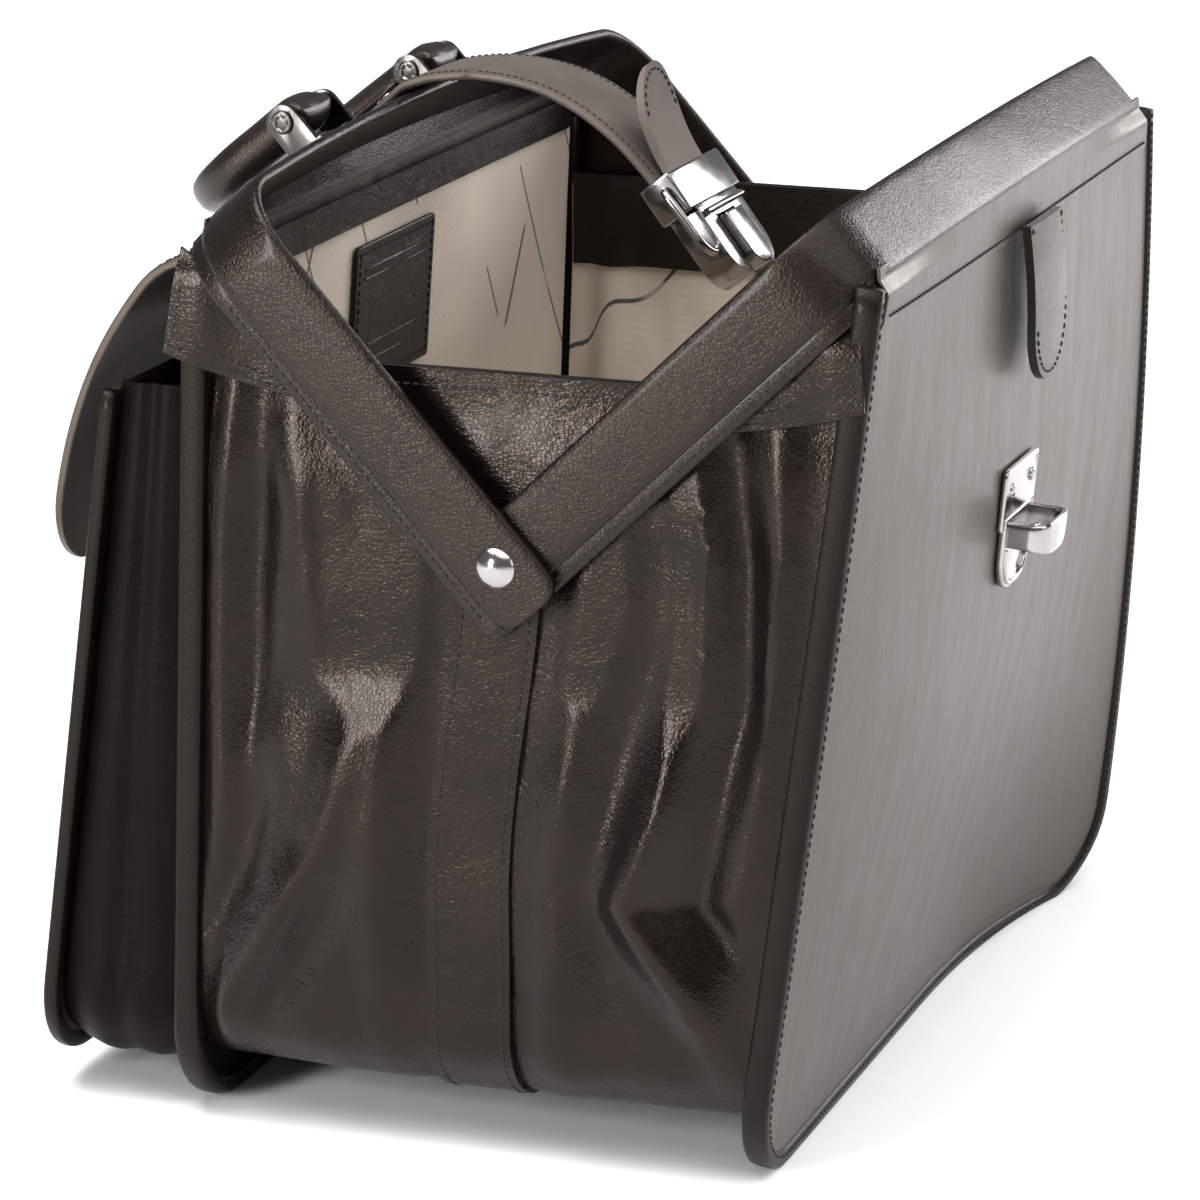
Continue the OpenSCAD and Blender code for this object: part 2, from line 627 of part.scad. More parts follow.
snap_s = 190;                           // height of the snap, up the pocket front
module snap_stud() color("#c9ccd0") on_pocket() translate([0, 0, snap_s]) rotate([-90, 0, 0]) {
    translate([0, 0, -2.4]) cylinder(r = 5, h = 1);
    translate([0, 0, -1.4]) cylinder(r = 2, h = 2.8);
    translate([0, 0, 1.4]) cylinder(r = 4, h = 1.6);
}

// Side view of the flap, from the back wall over the pocket
flap_line = [[97.5, 296.5], [104, 294.5], [111, 289.6], [118, 281], [126, 269], [133, 256], [139, 242],
             [143.6, 228], [147, 214], [149.4, 200], [151, 187]];
flap_t = 3;
flap_half = half_w - 10;
module pocket_flap() color("#332f2d") seat() intersection() {
    along_x(-flap_half, flap_half) ribbon(flap_line, 0, len(flap_line) - 1, flap_t);
    along_y(90, 170) wall_outline(flap_half, 180, 300, 30);
}
// The cap's two discs sit on either face of the flap, at the middle of one of its straight parts
flap_slope = 9.73;
snap_gap = flap_t / 2 + 0.25;
module on_flap_snap() translate([0, 148.2, 207]) rotate([flap_slope - 90, 0, 0]) children();
module snap_cap() color("#c9ccd0") seat() on_flap_snap() {
    translate([0, 0, -snap_gap - 2.2]) cylinder(r = 6, h = 2.2);
    translate([0, 0, snap_gap]) cylinder(r = 6, h = 1);
}

bottom_panel();
base_board();
bottom_lining();
gusset_left();
gusset_right();
gusset_band();
gusset_facing_left();
gusset_facing_right();
end_lining_left();
end_lining_right();
front_panel();
front_stiffener();
front_lining();
front_facing();
front_binding();
catch_plate();
catch_loop();
catch_pin();
catch_backing();
pull_tab();
back_panel();
back_stiffener();
back_lining();
back_facing();
back_binding();
lining_patch();
pocket_front();
pocket_binding();
pocket_gusset();
pocket_flap();
snap_stud();
snap_cap();
front_frame_steel();
front_frame_cover();
back_frame_steel();
back_frame_cover();
front_wing_left();
front_wing_right();
back_wing_left();
back_wing_right();
pivot_rivets();
handle_brackets();
bracket_screws();
handle_pins();
handle_sleeves();
handle_core();
handle_cover();
strap_tail();
strap_rivets();
closure_strap();
strap_end();
lock_clamp();
lock_case();
lock_button();
lock_spring();
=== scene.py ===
import math

import bmesh
import bpy
import numpy as np
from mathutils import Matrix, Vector, noise


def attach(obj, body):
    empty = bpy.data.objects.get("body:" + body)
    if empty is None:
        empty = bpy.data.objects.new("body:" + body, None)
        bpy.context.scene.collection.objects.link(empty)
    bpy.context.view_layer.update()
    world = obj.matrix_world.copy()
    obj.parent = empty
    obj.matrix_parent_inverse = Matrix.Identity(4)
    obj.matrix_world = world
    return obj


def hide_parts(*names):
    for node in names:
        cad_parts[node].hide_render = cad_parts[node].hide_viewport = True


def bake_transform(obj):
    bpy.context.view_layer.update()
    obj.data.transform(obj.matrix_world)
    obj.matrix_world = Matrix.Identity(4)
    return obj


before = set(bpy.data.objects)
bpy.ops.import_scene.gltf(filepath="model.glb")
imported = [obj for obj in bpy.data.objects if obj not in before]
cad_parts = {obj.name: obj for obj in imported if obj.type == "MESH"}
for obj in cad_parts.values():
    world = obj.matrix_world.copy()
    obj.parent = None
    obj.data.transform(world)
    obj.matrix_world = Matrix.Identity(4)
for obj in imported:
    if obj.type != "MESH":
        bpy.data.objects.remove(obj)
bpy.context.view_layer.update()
mm = 0.001
scene = bpy.context.scene


def hexColour(code):
    def linear(c):
        return c / 12.92 if c <= 0.04045 else ((c + 0.055) / 1.055) ** 2.4
    return tuple(linear(int(code[k:k + 2], 16) / 255) for k in (1, 3, 5)) + (1.0,)


def addNode(tree, kind, settings=None, **inputs):
    # inputs are values or sockets, by name with _ for a space, or by number as i0, i1
    node = tree.nodes.new(kind)
    for key, value in (settings or {}).items():
        setattr(node, key, value)
    for key, value in inputs.items():
        numbered = key[0] == "i" and key[1:].isdigit()
        socket = node.inputs[int(key[1:]) if numbered else key.replace("_", " ")]
        if isinstance(value, bpy.types.NodeSocket):
            tree.links.new(value, socket)
        else:
            socket.default_value = value
    return node


def newMaterial(name):
    material = bpy.data.materials.new(name)
    material.use_nodes = True
    tree = material.node_tree
    tree.nodes.clear()
    return material, tree, addNode(tree, "ShaderNodeTexCoord").outputs["Object"]


def finishMaterial(tree, **inputs):
    shader = addNode(tree, "ShaderNodeBsdfPrincipled", **inputs)
    addNode(tree, "ShaderNodeOutputMaterial", Surface=shader.outputs["BSDF"])


def perMetre(size):
    # texture scale for a pattern that repeats every size millimetres
    return 1000 / size


def smooth(t):
    t = min(max(t, 0.0), 1.0)
    return t * t * (3 - 2 * t)


def shape(value, power):
    # bends a sine or cosine towards the side of a rounded box
    return math.copysign(abs(value) ** power, value)


def circle(count):
    # cosine and sine of count steps round a circle
    return [(math.cos(2 * math.pi * k / count), math.sin(2 * math.pi * k / count)) for k in range(count)]


def meshPiece(name, verts, faces, material, sharp=40):
    mesh = bpy.data.meshes.new(name)
    mesh.from_pydata([tuple(float(c) * mm for c in v) for v in verts], [], faces)
    work = bmesh.new()
    work.from_mesh(mesh)
    bmesh.ops.remove_doubles(work, verts=work.verts, dist=1e-7)
    bmesh.ops.recalc_face_normals(work, faces=work.faces)
    work.to_mesh(mesh)
    work.free()
    mesh.materials.append(material)
    mesh.shade_smooth()
    if sharp:
        mesh.set_sharp_from_angle(angle=math.radians(sharp))
    obj = bpy.data.objects.new(name, mesh)
    scene.collection.objects.link(obj)
    return obj


def roundEdges(obj, width, segments=2, angle=50, sharp=0):
    # bevels, then keeps the evaluated shape as the object's own mesh
    bevel = obj.modifiers.new("edges", "BEVEL")
    bevel.width = width * mm
    bevel.segments = segments
    bevel.limit_method = "ANGLE"
    bevel.angle_limit = math.radians(angle)
    bpy.context.view_layer.update()
    graph = bpy.context.evaluated_depsgraph_get()
    mesh = bpy.data.meshes.new_from_object(obj.evaluated_get(graph))
    obj.modifiers.clear()
    obj.data = mesh
    mesh.shade_smooth()
    if sharp:
        mesh.set_sharp_from_angle(angle=math.radians(sharp))
    return obj


def slab(name, cols, rows, place, material, edge=0.5):
    # place(u, v, side) gives the outer skin for side 0 and the inner one for side 1
    n = cols + 1
    verts = [place(c / cols, r / rows, side) for side in (0, 1) for r in range(rows + 1) for c in range(n)]
    half = n * (rows + 1)
    faces = []
    for r in range(rows):
        for c in range(cols):
            a = r * n + c
            faces += [(a, a + 1, a + n + 1, a + n), (half + a + n, half + a + n + 1, half + a + 1, half + a)]
    rim = ([c for c in range(cols)] + [r * n + cols for r in range(rows)]
           + [rows * n + c for c in range(cols, 0, -1)] + [r * n for r in range(rows, 0, -1)])
    faces += [(b, a, half + a, half + b) for a, b in zip(rim, rim[1:] + rim[:1])]
    obj = meshPiece(name, verts, faces, material)
    return roundEdges(obj, edge) if edge else obj


def loft(name, rings, material, sharp=50):
    n = len(rings[0])
    verts = [p for ring in rings for p in ring]
    faces = [(r * n + k, r * n + (k + 1) % n, (r + 1) * n + (k + 1) % n, (r + 1) * n + k)
             for r in range(len(rings) - 1) for k in range(n)]
    faces += [tuple(range(n)), tuple((len(rings) - 1) * n + k for k in range(n))]
    return meshPiece(name, verts, faces, material, sharp)


def inset(outline, amount):
    # moves every corner of a closed outline inwards along its normal
    pts = np.array(outline, float)
    tangent = np.roll(pts, -1, 0) - np.roll(pts, 1, 0)
    tangent /= np.maximum(np.linalg.norm(tangent, axis=1), 1e-9)[:, None]
    area = np.sum(pts[:, 0] * np.roll(pts[:, 1], -1) - np.roll(pts[:, 0], -1) * pts[:, 1])
    inward = np.stack([-tangent[:, 1], tangent[:, 0]], 1) * (1 if area > 0 else -1)
    return pts + inward * amount


def plate(name, outline, low, high, edge, toPlace, material):
    # a flat piece with rounded edges: outline in (a, b), thickness from low to high
    levels = []
    for k in range(4):
        turn = math.radians(30 * k)
        levels.append((edge * (1 - math.sin(turn)), low + edge * (1 - math.cos(turn))))
    levels += [(amount, high + low - height) for amount, height in reversed(levels)]
    rings = [[toPlace(a, b, height) for a, b in inset(outline, amount)] for amount, height in levels]
    return loft(name, rings, material)


def roundedOutline(left, right, low, high, radii, steps=6):
    # radii of the corners low left, low right, high right, high left
    corners = [(left, low, 1, 1, 180), (right, low, -1, 1, 270), (right, high, -1, -1, 0),
               (left, high, 1, -1, 90)]
    points = []
    for (x, z, sx, sz, start), r in zip(corners, radii):
        for k in range(steps + 1):
            turn = math.radians(start + 90 * k / steps)
            points.append((x + sx * r + r * math.cos(turn), z + sz * r + r * math.sin(turn)))
    return points


def resample(points, step):
    pts = np.array(points, float)
    along = np.concatenate([[0], np.cumsum(np.linalg.norm(np.diff(pts, axis=0), axis=1))])
    count = max(2, int(round(along[-1] / step)) + 1)
    places = np.linspace(0, along[-1], count)
    return np.stack([np.interp(places, along, pts[:, k]) for k in range(pts.shape[1])], 1)


def curveThrough(points, step):
    # Catmull-Rom through the points, then evenly spaced
    pts = [np.array(p, float) for p in points]
    pts = [2 * pts[0] - pts[1]] + pts + [2 * pts[-1] - pts[-2]]
    dense = []
    for a, b, c, d in zip(pts, pts[1:], pts[2:], pts[3:]):
        for t in [k / 10 for k in range(10)]:
            dense.append(0.5 * (2 * b + (c - a) * t + (2 * a - 5 * b + 4 * c - d) * t * t
                                + (3 * b - a - 3 * c + d) * t ** 3))
    return resample(dense + [pts[-2]], step)


def headings(path):
    # each point of a path with its direction there
    for k, point in enumerate(path):
        along = path[min(k + 1, len(path) - 1)] - path[max(k - 1, 0)]
        yield point, along / np.linalg.norm(along)


# section: (place along the stitch, width, lift) from one end to the other
thread = {"pitch": 3.3, "length": 2.5, "radius": 0.42, "sides": 5,
          "section": ((-0.5, 0.3, -0.5), (-0.3, 0.9, 0.1), (0, 1, 0.35), (0.3, 0.9, 0.1), (0.5, 0.3, -0.5))}


def stitches(name, lines, size=1.0):
    # lines hold (point, surface normal) along each seam
    verts, faces = [], []
    n, long, r = thread["sides"], thread["length"] * size, thread["radius"] * size
    for line in lines:
        rows = resample([list(p) + list(normal) for p, normal in line], thread["pitch"] * size)
        for a, b in zip(rows[:-1], rows[1:]):
            middle, up = (a[:3] + b[:3]) / 2, a[3:] + b[3:]
            along = b[:3] - a[:3]
            reach = np.linalg.norm(along)
            if reach < 1e-6:
                continue
            along /= reach
            up = up - along * (up @ along)
            up /= max(np.linalg.norm(up), 1e-9)
            side = np.cross(along, up)
            base = len(verts)
            for place, wide, lift in thread["section"]:
                verts += [middle + along * place * long + side * r * wide * c + up * r * (lift + wide * s)
                          for c, s in circle(n)]
            faces += [(base + q * n + k, base + q * n + (k + 1) % n, base + q * n + n + (k + 1) % n,
                       base + q * n + n + k) for q in range(len(thread["section"]) - 1) for k in range(n)]
            last = base + n * (len(thread["section"]) - 1)
            faces += [tuple(base + k for k in range(n)), tuple(last + k for k in range(n))]
    return meshPiece(name, verts, faces, waxedThread, 0)


def surfaceLine(place, points, lift):
    # a seam line on a surface place(a, b, out): points are (a, b) pairs
    line = []
    for a, b in points:
        here, above = np.array(place(a, b, lift)), np.array(place(a, b, lift + 1))
        line.append((here, above - here))
    return line


def flatLine(points, normal):
    # a seam line whose points all face the same way
    return [(np.array(p), np.array(normal)) for p in points]


def glazedLeather(name, dark, light, grain, gloss, wrinkle, streak=False, coat=0.0, shine=0.3):
    # vegetable-tanned calf, dyed and glazed: very dark, warm where light catches it,
    # with pores under a polished film and soft creases
    material, tree, place = newMaterial(name)
    drawn = addNode(tree, "ShaderNodeMapping", Vector=place, Scale=(1, 1, 0.18 if streak else 1)).outputs[0]
    cloud = addNode(tree, "ShaderNodeTexNoise", Vector=drawn, Scale=perMetre(9 if streak else 45), Detail=5.0,
                    Roughness=0.6).outputs["Fac"]
    pores = addNode(tree, "ShaderNodeTexVoronoi", {"feature": "DISTANCE_TO_EDGE"}, Vector=place,
                    Scale=perMetre(1.5)).outputs["Distance"]
    fine = addNode(tree, "ShaderNodeTexNoise", Vector=place, Scale=perMetre(2.2), Detail=3.0).outputs["Fac"]
    crease = addNode(tree, "ShaderNodeTexNoise", Vector=place, Scale=perMetre(14), Detail=4.0, Roughness=0.62,
                     Distortion=0.8).outputs["Fac"]
    share = addNode(tree, "ShaderNodeMapRange", Value=cloud, From_Min=0.3, From_Max=0.72).outputs[0]
    colour = addNode(tree, "ShaderNodeMix", {"data_type": "RGBA"}, i0=share, i6=hexColour(dark),
                     i7=hexColour(light)).outputs[2]
    rough = addNode(tree, "ShaderNodeMapRange", Value=cloud, From_Min=0.25, From_Max=0.75, To_Min=gloss,
                    To_Max=gloss + 0.16).outputs[0]
    pits = addNode(tree, "ShaderNodeMapRange", Value=pores, From_Max=0.22).outputs[0]
    low = addNode(tree, "ShaderNodeBump", Strength=grain * 0.5, Distance=0.00022, Height=pits)
    middle = addNode(tree, "ShaderNodeBump", Strength=grain * 0.6, Distance=0.0004, Height=fine,
                     Normal=low.outputs[0])
    high = addNode(tree, "ShaderNodeBump", Strength=wrinkle, Distance=0.002, Height=crease,
                   Normal=middle.outputs[0])
    finishMaterial(tree, Base_Color=colour, Roughness=rough, Normal=high.outputs[0], Coat_Weight=coat,
                   Coat_Roughness=0.12, Specular_IOR_Level=shine, Specular_Tint=hexColour("#ffe9d9"))
    return material


# two families of loose strokes: (turn in radians, spacing in millimetres, seed)
printing = {"families": ((0.0, 46, 3.1), (1.15, 61, 8.7)), "length": 48, "line": (0.4, 0.8)}


def printedCloth(name):
    # cotton twill lining, beige, with loose dark printed strokes
    material, tree, place = newMaterial(name)
    turned = addNode(tree, "ShaderNodeMapping", Vector=place, Rotation=(0.5, 0.9, 0.35)).outputs[0]
    weave = addNode(tree, "ShaderNodeTexWave", {"wave_type": "BANDS"}, Vector=turned,
                    Scale=perMetre(1.4) / 6.3, Distortion=1.0, Detail=2.0, Detail_Scale=3.0).outputs["Fac"]
    shade = addNode(tree, "ShaderNodeTexNoise", Vector=place, Scale=perMetre(60), Detail=3.0).outputs["Fac"]
    share = addNode(tree, "ShaderNodeMapRange", Value=shade, From_Min=0.3, From_Max=0.7).outputs[0]
    cloth = addNode(tree, "ShaderNodeMix", {"data_type": "RGBA"}, i0=share, i6=hexColour("#bcafa2"),
                    i7=hexColour("#cec2b5")).outputs[2]
    ink = 0.0
    for turn, spacing, seed in printing["families"]:
        across = addNode(tree, "ShaderNodeVectorMath", {"operation": "DOT_PRODUCT"}, i0=place,
                         i1=(0.6 * math.cos(turn) + 0.3, 0.5, 0.62 - 0.9 * math.sin(turn))).outputs["Value"]
        along = addNode(tree, "ShaderNodeVectorMath", {"operation": "DOT_PRODUCT"}, i0=place,
                        i1=(-0.35, -0.4 - 0.3 * turn, 0.8)).outputs["Value"]
        lane = addNode(tree, "ShaderNodeMath", {"operation": "MULTIPLY"}, i0=across,
                       i1=perMetre(spacing)).outputs[0]
        number = addNode(tree, "ShaderNodeMath", {"operation": "ROUND"}, i0=lane).outputs[0]
        off = addNode(tree, "ShaderNodeMath", {"operation": "SUBTRACT"}, i0=lane, i1=number).outputs[0]
        away = addNode(tree, "ShaderNodeMath", {"operation": "ABSOLUTE"}, i0=off).outputs[0]
        thin, wide = [width / spacing for width in printing["line"]]
        line = addNode(tree, "ShaderNodeMapRange", Value=away, From_Min=thin, From_Max=wide, To_Min=1.0,
                       To_Max=0.0).outputs[0]
        key = addNode(tree, "ShaderNodeCombineXYZ", X=number, Y=along, Z=seed).outputs[0]
        part = addNode(tree, "ShaderNodeMapping", Vector=key,
                       Scale=(7.3, perMetre(printing["length"]), 1)).outputs[0]
        gate = addNode(tree, "ShaderNodeTexNoise", Vector=part, Scale=1.0, Detail=0.0).outputs["Fac"]
        shown = addNode(tree, "ShaderNodeMapRange", Value=gate, From_Min=0.5, From_Max=0.51).outputs[0]
        stroke = addNode(tree, "ShaderNodeMath", {"operation": "MULTIPLY"}, i0=line, i1=shown).outputs[0]
        ink = addNode(tree, "ShaderNodeMath", {"operation": "MAXIMUM"}, i0=stroke, i1=ink).outputs[0]
    colour = addNode(tree, "ShaderNodeMix", {"data_type": "RGBA"}, i0=ink, i6=cloth,
                     i7=hexColour("#4a4340")).outputs[2]
    bump = addNode(tree, "ShaderNodeBump", Strength=0.12, Distance=0.0003, Height=weave)
    finishMaterial(tree, Base_Color=colour, Roughness=0.85, Normal=bump.outputs[0], Sheen_Weight=0.15,
                   Sheen_Roughness=0.5)
    return material


def platedMetal(name, colour, rough=0.14):
    # polished metal, neutral and mirror-like, with faint handling haze
    material, tree, place = newMaterial(name)
    haze = addNode(tree, "ShaderNodeTexNoise", Vector=place, Scale=perMetre(18), Detail=6.0,
                   Roughness=0.7).outputs["Fac"]
    polish = addNode(tree, "ShaderNodeMapRange", Value=haze, From_Min=0.3, From_Max=0.75, To_Min=rough * 0.6,
                     To_Max=rough * 1.7).outputs[0]
    waves = addNode(tree, "ShaderNodeTexNoise", Vector=place, Scale=perMetre(6), Detail=2.0).outputs["Fac"]
    bump = addNode(tree, "ShaderNodeBump", Strength=0.08, Distance=0.0004, Height=waves)
    finishMaterial(tree, Base_Color=hexColour(colour), Metallic=1.0, Roughness=polish, Normal=bump.outputs[0])
    return material


def plainStuff(name, first, second, size, rough, bumpSize=0.0003):
    # fibreboard, thread and other matt stuff
    material, tree, place = newMaterial(name)
    spot = addNode(tree, "ShaderNodeTexNoise", Vector=place, Scale=perMetre(size), Detail=4.0).outputs["Fac"]
    share = addNode(tree, "ShaderNodeMapRange", Value=spot, From_Min=0.3, From_Max=0.7).outputs[0]
    colour = addNode(tree, "ShaderNodeMix", {"data_type": "RGBA"}, i0=share, i6=hexColour(first),
                     i7=hexColour(second)).outputs[2]
    bump = addNode(tree, "ShaderNodeBump", Strength=0.4, Distance=bumpSize, Height=spot)
    finishMaterial(tree, Base_Color=colour, Roughness=rough, Normal=bump.outputs[0])
    return material


gussetLeather = glazedLeather("glazed_calf_gusset", "#060403", "#140e0b", 0.45, 0.17, 0.28, coat=0.05,
                              shine=0.22)
# the walls' dark glazed calf with a lighter base colour: painted sheen, the grey sheen of the walls seen at a
# grazing angle
paintedSheenPanelLeather = glazedLeather("glazed_calf_panel", "#2a2522", "#423a34", 0.35, 0.36, 0.1, True, 0.1, 0.5)
frameLeather = glazedLeather("glazed_calf_frame", "#0b0807", "#191310", 0.7, 0.26, 0.25, coat=0.1, shine=0.24)
bindingLeather = glazedLeather("satin_calf_binding", "#070605", "#110e0c", 0.4, 0.32, 0.12, coat=0.06,
                               shine=0.14)
# a darker, less shiny copy of the gusset's calf: painted shade on the pocket side
mattShadedPocketLeather = glazedLeather("matt_calf_pocket", "#040303", "#0c0908", 0.4, 0.3, 0.15, shine=0.08)
strapLeather = glazedLeather("glazed_calf_strap", "#110e0c", "#211b18", 0.5, 0.3, 0.12, coat=0.15)
# the strap's calf with a lighter base colour: painted sheen on the closing strap
paintedSheenStrapLeather = glazedLeather("glazed_calf_strap_top", "#4a433e", "#625a54", 0.3, 0.42, 0.1, coat=0.05)
tongueLeather = glazedLeather("satin_calf_tongue", "#5a524d", "#736a64", 0.3, 0.6, 0.1, shine=0.12)
facingLeather = glazedLeather("grained_calf_facing", "#0d0b0a", "#191513", 0.6, 0.42, 0.5, coat=0.05)
liningCloth = printedCloth("cotton_twill_lining")
nickel = platedMetal("nickel_plated_zinc", "#a5a3a1")      # bright, with soft grey haze
shadedNickel = platedMetal("aged_nickel", "#43413f", 0.2)      # a darker, duller copy of the nickel: painted shade on the handle brackets, screws and pins
steel = platedMetal("spring_steel", "#a9acb0", 0.28)
brass = platedMetal("blackened_brass", "#3b3127", 0.35)      # dark, with a little yellow left
waxedThread = plainStuff("waxed_polyester_thread", "#0c0a0a", "#1d1918", 0.6, 0.85, 0.0001)
fibreBoard = plainStuff("pressed_fibreboard", "#6d5a45", "#8a7358", 3, 0.9)

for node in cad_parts.values():      # the CAD nodes that stay shown need a finish too
    found = nickel
    for words, finish in ((("steel", "spring", "backing"), steel), (("sleeves",), brass),
                          (("board", "stiffener", "core"), fibreBoard)):
        if found is nickel and any(word in node.name for word in words):
            found = finish
    node.data.materials.clear()
    node.data.materials.append(found)
print("materials made")


# the bag's own geometry, in millimetres
def leaning(side, y0, z0, degrees):
    # place(x, out, up) on a plane that leans from vertical; side is -1 at the front
    c, n = math.cos(math.radians(degrees)), math.sin(math.radians(degrees))
    return lambda x, out, up: (x, y0 + side * (out * c + up * n), z0 - out * n + up * c)


lean = {"front": 7.2115, "back": 2.0628, "seam": 18}
frontWall = leaning(-1, -104, lean["seam"], lean["front"])
backWall = leaning(1, 100, lean["seam"], -lean["back"])
frontFrame = leaning(-1, -18.5, 207.7, 46)
backFrame = leaning(1, -18.5, 207.7, 42)
pocketPlane = leaning(1, 154, 10, -7.533)
# bulge of each panel and how far its lower far corner flares
bag = {"half": 180, "corner": 38, "binding": 6.6, "frontBulge": 12, "backBulge": 4, "flare": 25}


def bulge(x, s, length, high):
    if s <= 0:
        return 0.0
    return high * math.sin(math.pi * min(s / length, 1)) * (1 - min(abs(x) / bag["half"], 1) ** 2.6)


def onFront(x, s, out):
    length = walls["front"]["length"]
    far = bag["flare"] * max(x / bag["half"], 0) ** 2.8 * (1 - min(max(s, 0) / length, 1) ** 1.7)
    return frontWall(x, bulge(x, s, length, bag["frontBulge"]) + far + out, s)


def onBack(x, s, out):
    return backWall(x, bulge(x, s, walls["back"]["length"], bag["backBulge"]) + out, s)


# foot is the lowest edge, bound the top of the edge binding, facing the lower edge of the leather
# facing, measured down from the bar
walls = {
    "front": {"place": onFront, "length": 290.3, "foot": -18.9, "facing": 46, "bound": 289},
    "back": {"place": onBack, "length": 289.0, "foot": -18.0, "facing": 20, "bound": 272},
}


def wallHalf(s, foot, half, r):
    # half width of the wall at height s, with its rounded lower corners
    if s >= foot + r:
        return half
    k = foot + r - s
    return half - r + math.sqrt(max(r * r - k * k, 0))


def wallSkin(name, wall, margin, outer, inner, low, high, r, material, slotName, cols=48, rows=44):
    def put(u, v, side):
        s = low + (high - low) * v ** 1.35
        half = wallHalf(s, low, bag["half"] - margin, r)
        return walls[wall]["place"]((2 * u - 1) * half, s, inner if side else outer)
    return slab(name, cols, rows, put, material, 0)


for wall, facts in walls.items():
    w, length, foot = bag["binding"], facts["length"], facts["foot"]
    # margin at the sides, outer and inner face, lower and upper edge, corner radius
    layers = {
        "leather": ((w - 1.5, 1.6, -1.6, foot + w - 1.5, length - 5, 33, paintedSheenPanelLeather, "panel_leather"),
                    "_panel"),
        "board": ((w + 1, -1.7, -3.7, 3, length - 12, 30, fibreBoard, "board", 24, 24), "_stiffener"),
        "lining": ((10, -3.8, -4.8, 7, length - 12, 27, liningCloth, "lining_fabric"), "_lining"),
        "rear_leather": ((w - 1, -1.6, -1.9, foot + w - 1, 60, 32, bindingLeather, "binding_leather", 30, 20),
                         ""),
        "facing": ((12, -4.9, -6.3, length - facts["facing"], length - 8, 4, facingLeather, "facing_leather",
                    48, 10), "_facing"),
    }
    for kind, (settings, node) in layers.items():
        skin = wallSkin("%s_wall_%s" % (wall, kind), wall, *settings)
        if node:
            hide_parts(wall + node)
        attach(skin, wall + "_wall")

binding = {"inner": -6.1, "outer": 3.0, "seam": 4.4, "lift": 2.85}


def edgePath(foot, top, half, r):
    # (x, s, outward x, outward s) down one side, along the bottom and up the other
    points = [(-half, s, -1, 0) for s in np.linspace(top, foot + r, 34)]
    points += [(-half + r - r * math.cos(t), foot + r - r * math.sin(t), -math.cos(t), -math.sin(t))
               for t in np.linspace(0, math.pi / 2, 12)[1:]]
    points += [(x, foot, 0, -1) for x in np.linspace(-half + r, half - r, 40)[1:-1]]
    points += [(half - r + r * math.sin(t), foot + r - r * math.cos(t), math.sin(t), -math.cos(t))
               for t in np.linspace(0, math.pi / 2, 12)]
    points += [(half, s, 1, 0) for s in np.linspace(foot + r, top, 34)[1:]]
    return points


def foldedEdge(name, place, path, width, inner, outer):
    # leather folded over the edge: a rounded box section with a soft outer face
    middle, thick = (inner + outer) / 2, (outer - inner) / 2
    section = [(width / 2 * (1 - shape(c, 0.55)), middle + thick * shape(n, 0.62)) for c, n in circle(20)]
    rings = []
    for x, s, nx, ns in path:
        ring = [place(x - nx * depth, s - ns * depth, out) for depth, out in section]
        rings.append([(p[0], p[1], max(p[2], 0.05)) for p in ring])      # nothing goes under the table
    return loft(name, rings, bindingLeather, 0)


for wall, facts in walls.items():
    path = edgePath(facts["foot"], facts["bound"], bag["half"], bag["corner"])
    piece = foldedEdge(wall + "_edge_binding", facts["place"], path, bag["binding"], binding["inner"],
                       binding["outer"])
    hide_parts(wall + "_binding")
    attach(piece, wall + "_wall")
    line = surfaceLine(facts["place"], [(x - nx * binding["seam"], s - ns * binding["seam"])
                                        for x, s, nx, ns in path], binding["lift"])
    piece = stitches(wall + "_wall_stitching", [[(p, n) for p, n in line if p[2] > 3]])
    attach(piece, wall + "_wall")
print("walls made")

# gussets: soft sides with hanging folds
gusset = {"x": 176.4, "bend": 30, "top": 268, "cols": 44, "belly": 5.5, "small": 1.1}
# each fold: points along it (y, z), half width, height (outwards positive)
folds = [
    ([(12, 240), (22, 170), (26, 110), (20, 55)], 13, 4.5),
    ([(96, 24), (72, 60), (47, 103), (34, 150)], 8, 7.0),
    ([(80, 30), (58, 64), (40, 98)], 8, -5.0),
    ([(96, 60), (78, 92), (64, 130)], 7, -4.5),
    ([(89, 80), (86, 170), (79, 266)], 6.5, 5.0),
    ([(74, 110), (71, 190), (66, 262)], 7, -5.0),
    ([(62, 250), (46, 205), (40, 150)], 12, 4.0),
    ([(-80, 175), (-72, 130), (-60, 97), (-80, 70), (-97, 42)], 8, 8.0),
    ([(-98, 170), (-88, 120), (-84, 98), (-98, 80)], 7, -6.0),
    ([(-62, 172), (-46, 100), (-60, 52)], 11, -4.5),
    ([(-76, 262), (-84, 215), (-80, 160)], 6.5, 5.0),
    ([(-92, 262), (-98, 210), (-98, 160)], 6.5, -5.5),
    ([(-108, 262), (-112, 215), (-108, 150), (-104, 90)], 6, 4.5),
    ([(-52, 245), (-50, 190), (-40, 140), (-34, 80)], 12, 3.5),
    ([(-80, 34), (-20, 28), (40, 30), (86, 34)], 12, 3.0),
]
farSide = (0.75, 1.1, 0.9)      # the far gusset repeats the folds with other heights


def foldLift(y, z, side):
    total = 0.0
    for number, (points, wide, high) in enumerate(folds):
        best, at = 1e9, 0
        for k, ((y0, z0), (y1, z1)) in enumerate(zip(points[:-1], points[1:])):
            dy, dz = y1 - y0, z1 - z0
            t = min(max(((y - y0) * dy + (z - z0) * dz) / (dy * dy + dz * dz), 0), 1)
            away = math.hypot(y - y0 - t * dy, z - z0 - t * dz)
            if away < best:
                best, at = away, (k + t) / (len(points) - 1)
        if best < 4 * wide:
            fade = math.sin(math.pi * (0.06 + 0.88 * at)) ** 0.8
            total += high * fade * math.exp(-(best / wide) ** 2) * (1 if side < 0 else farSide[number % 3])
    return total


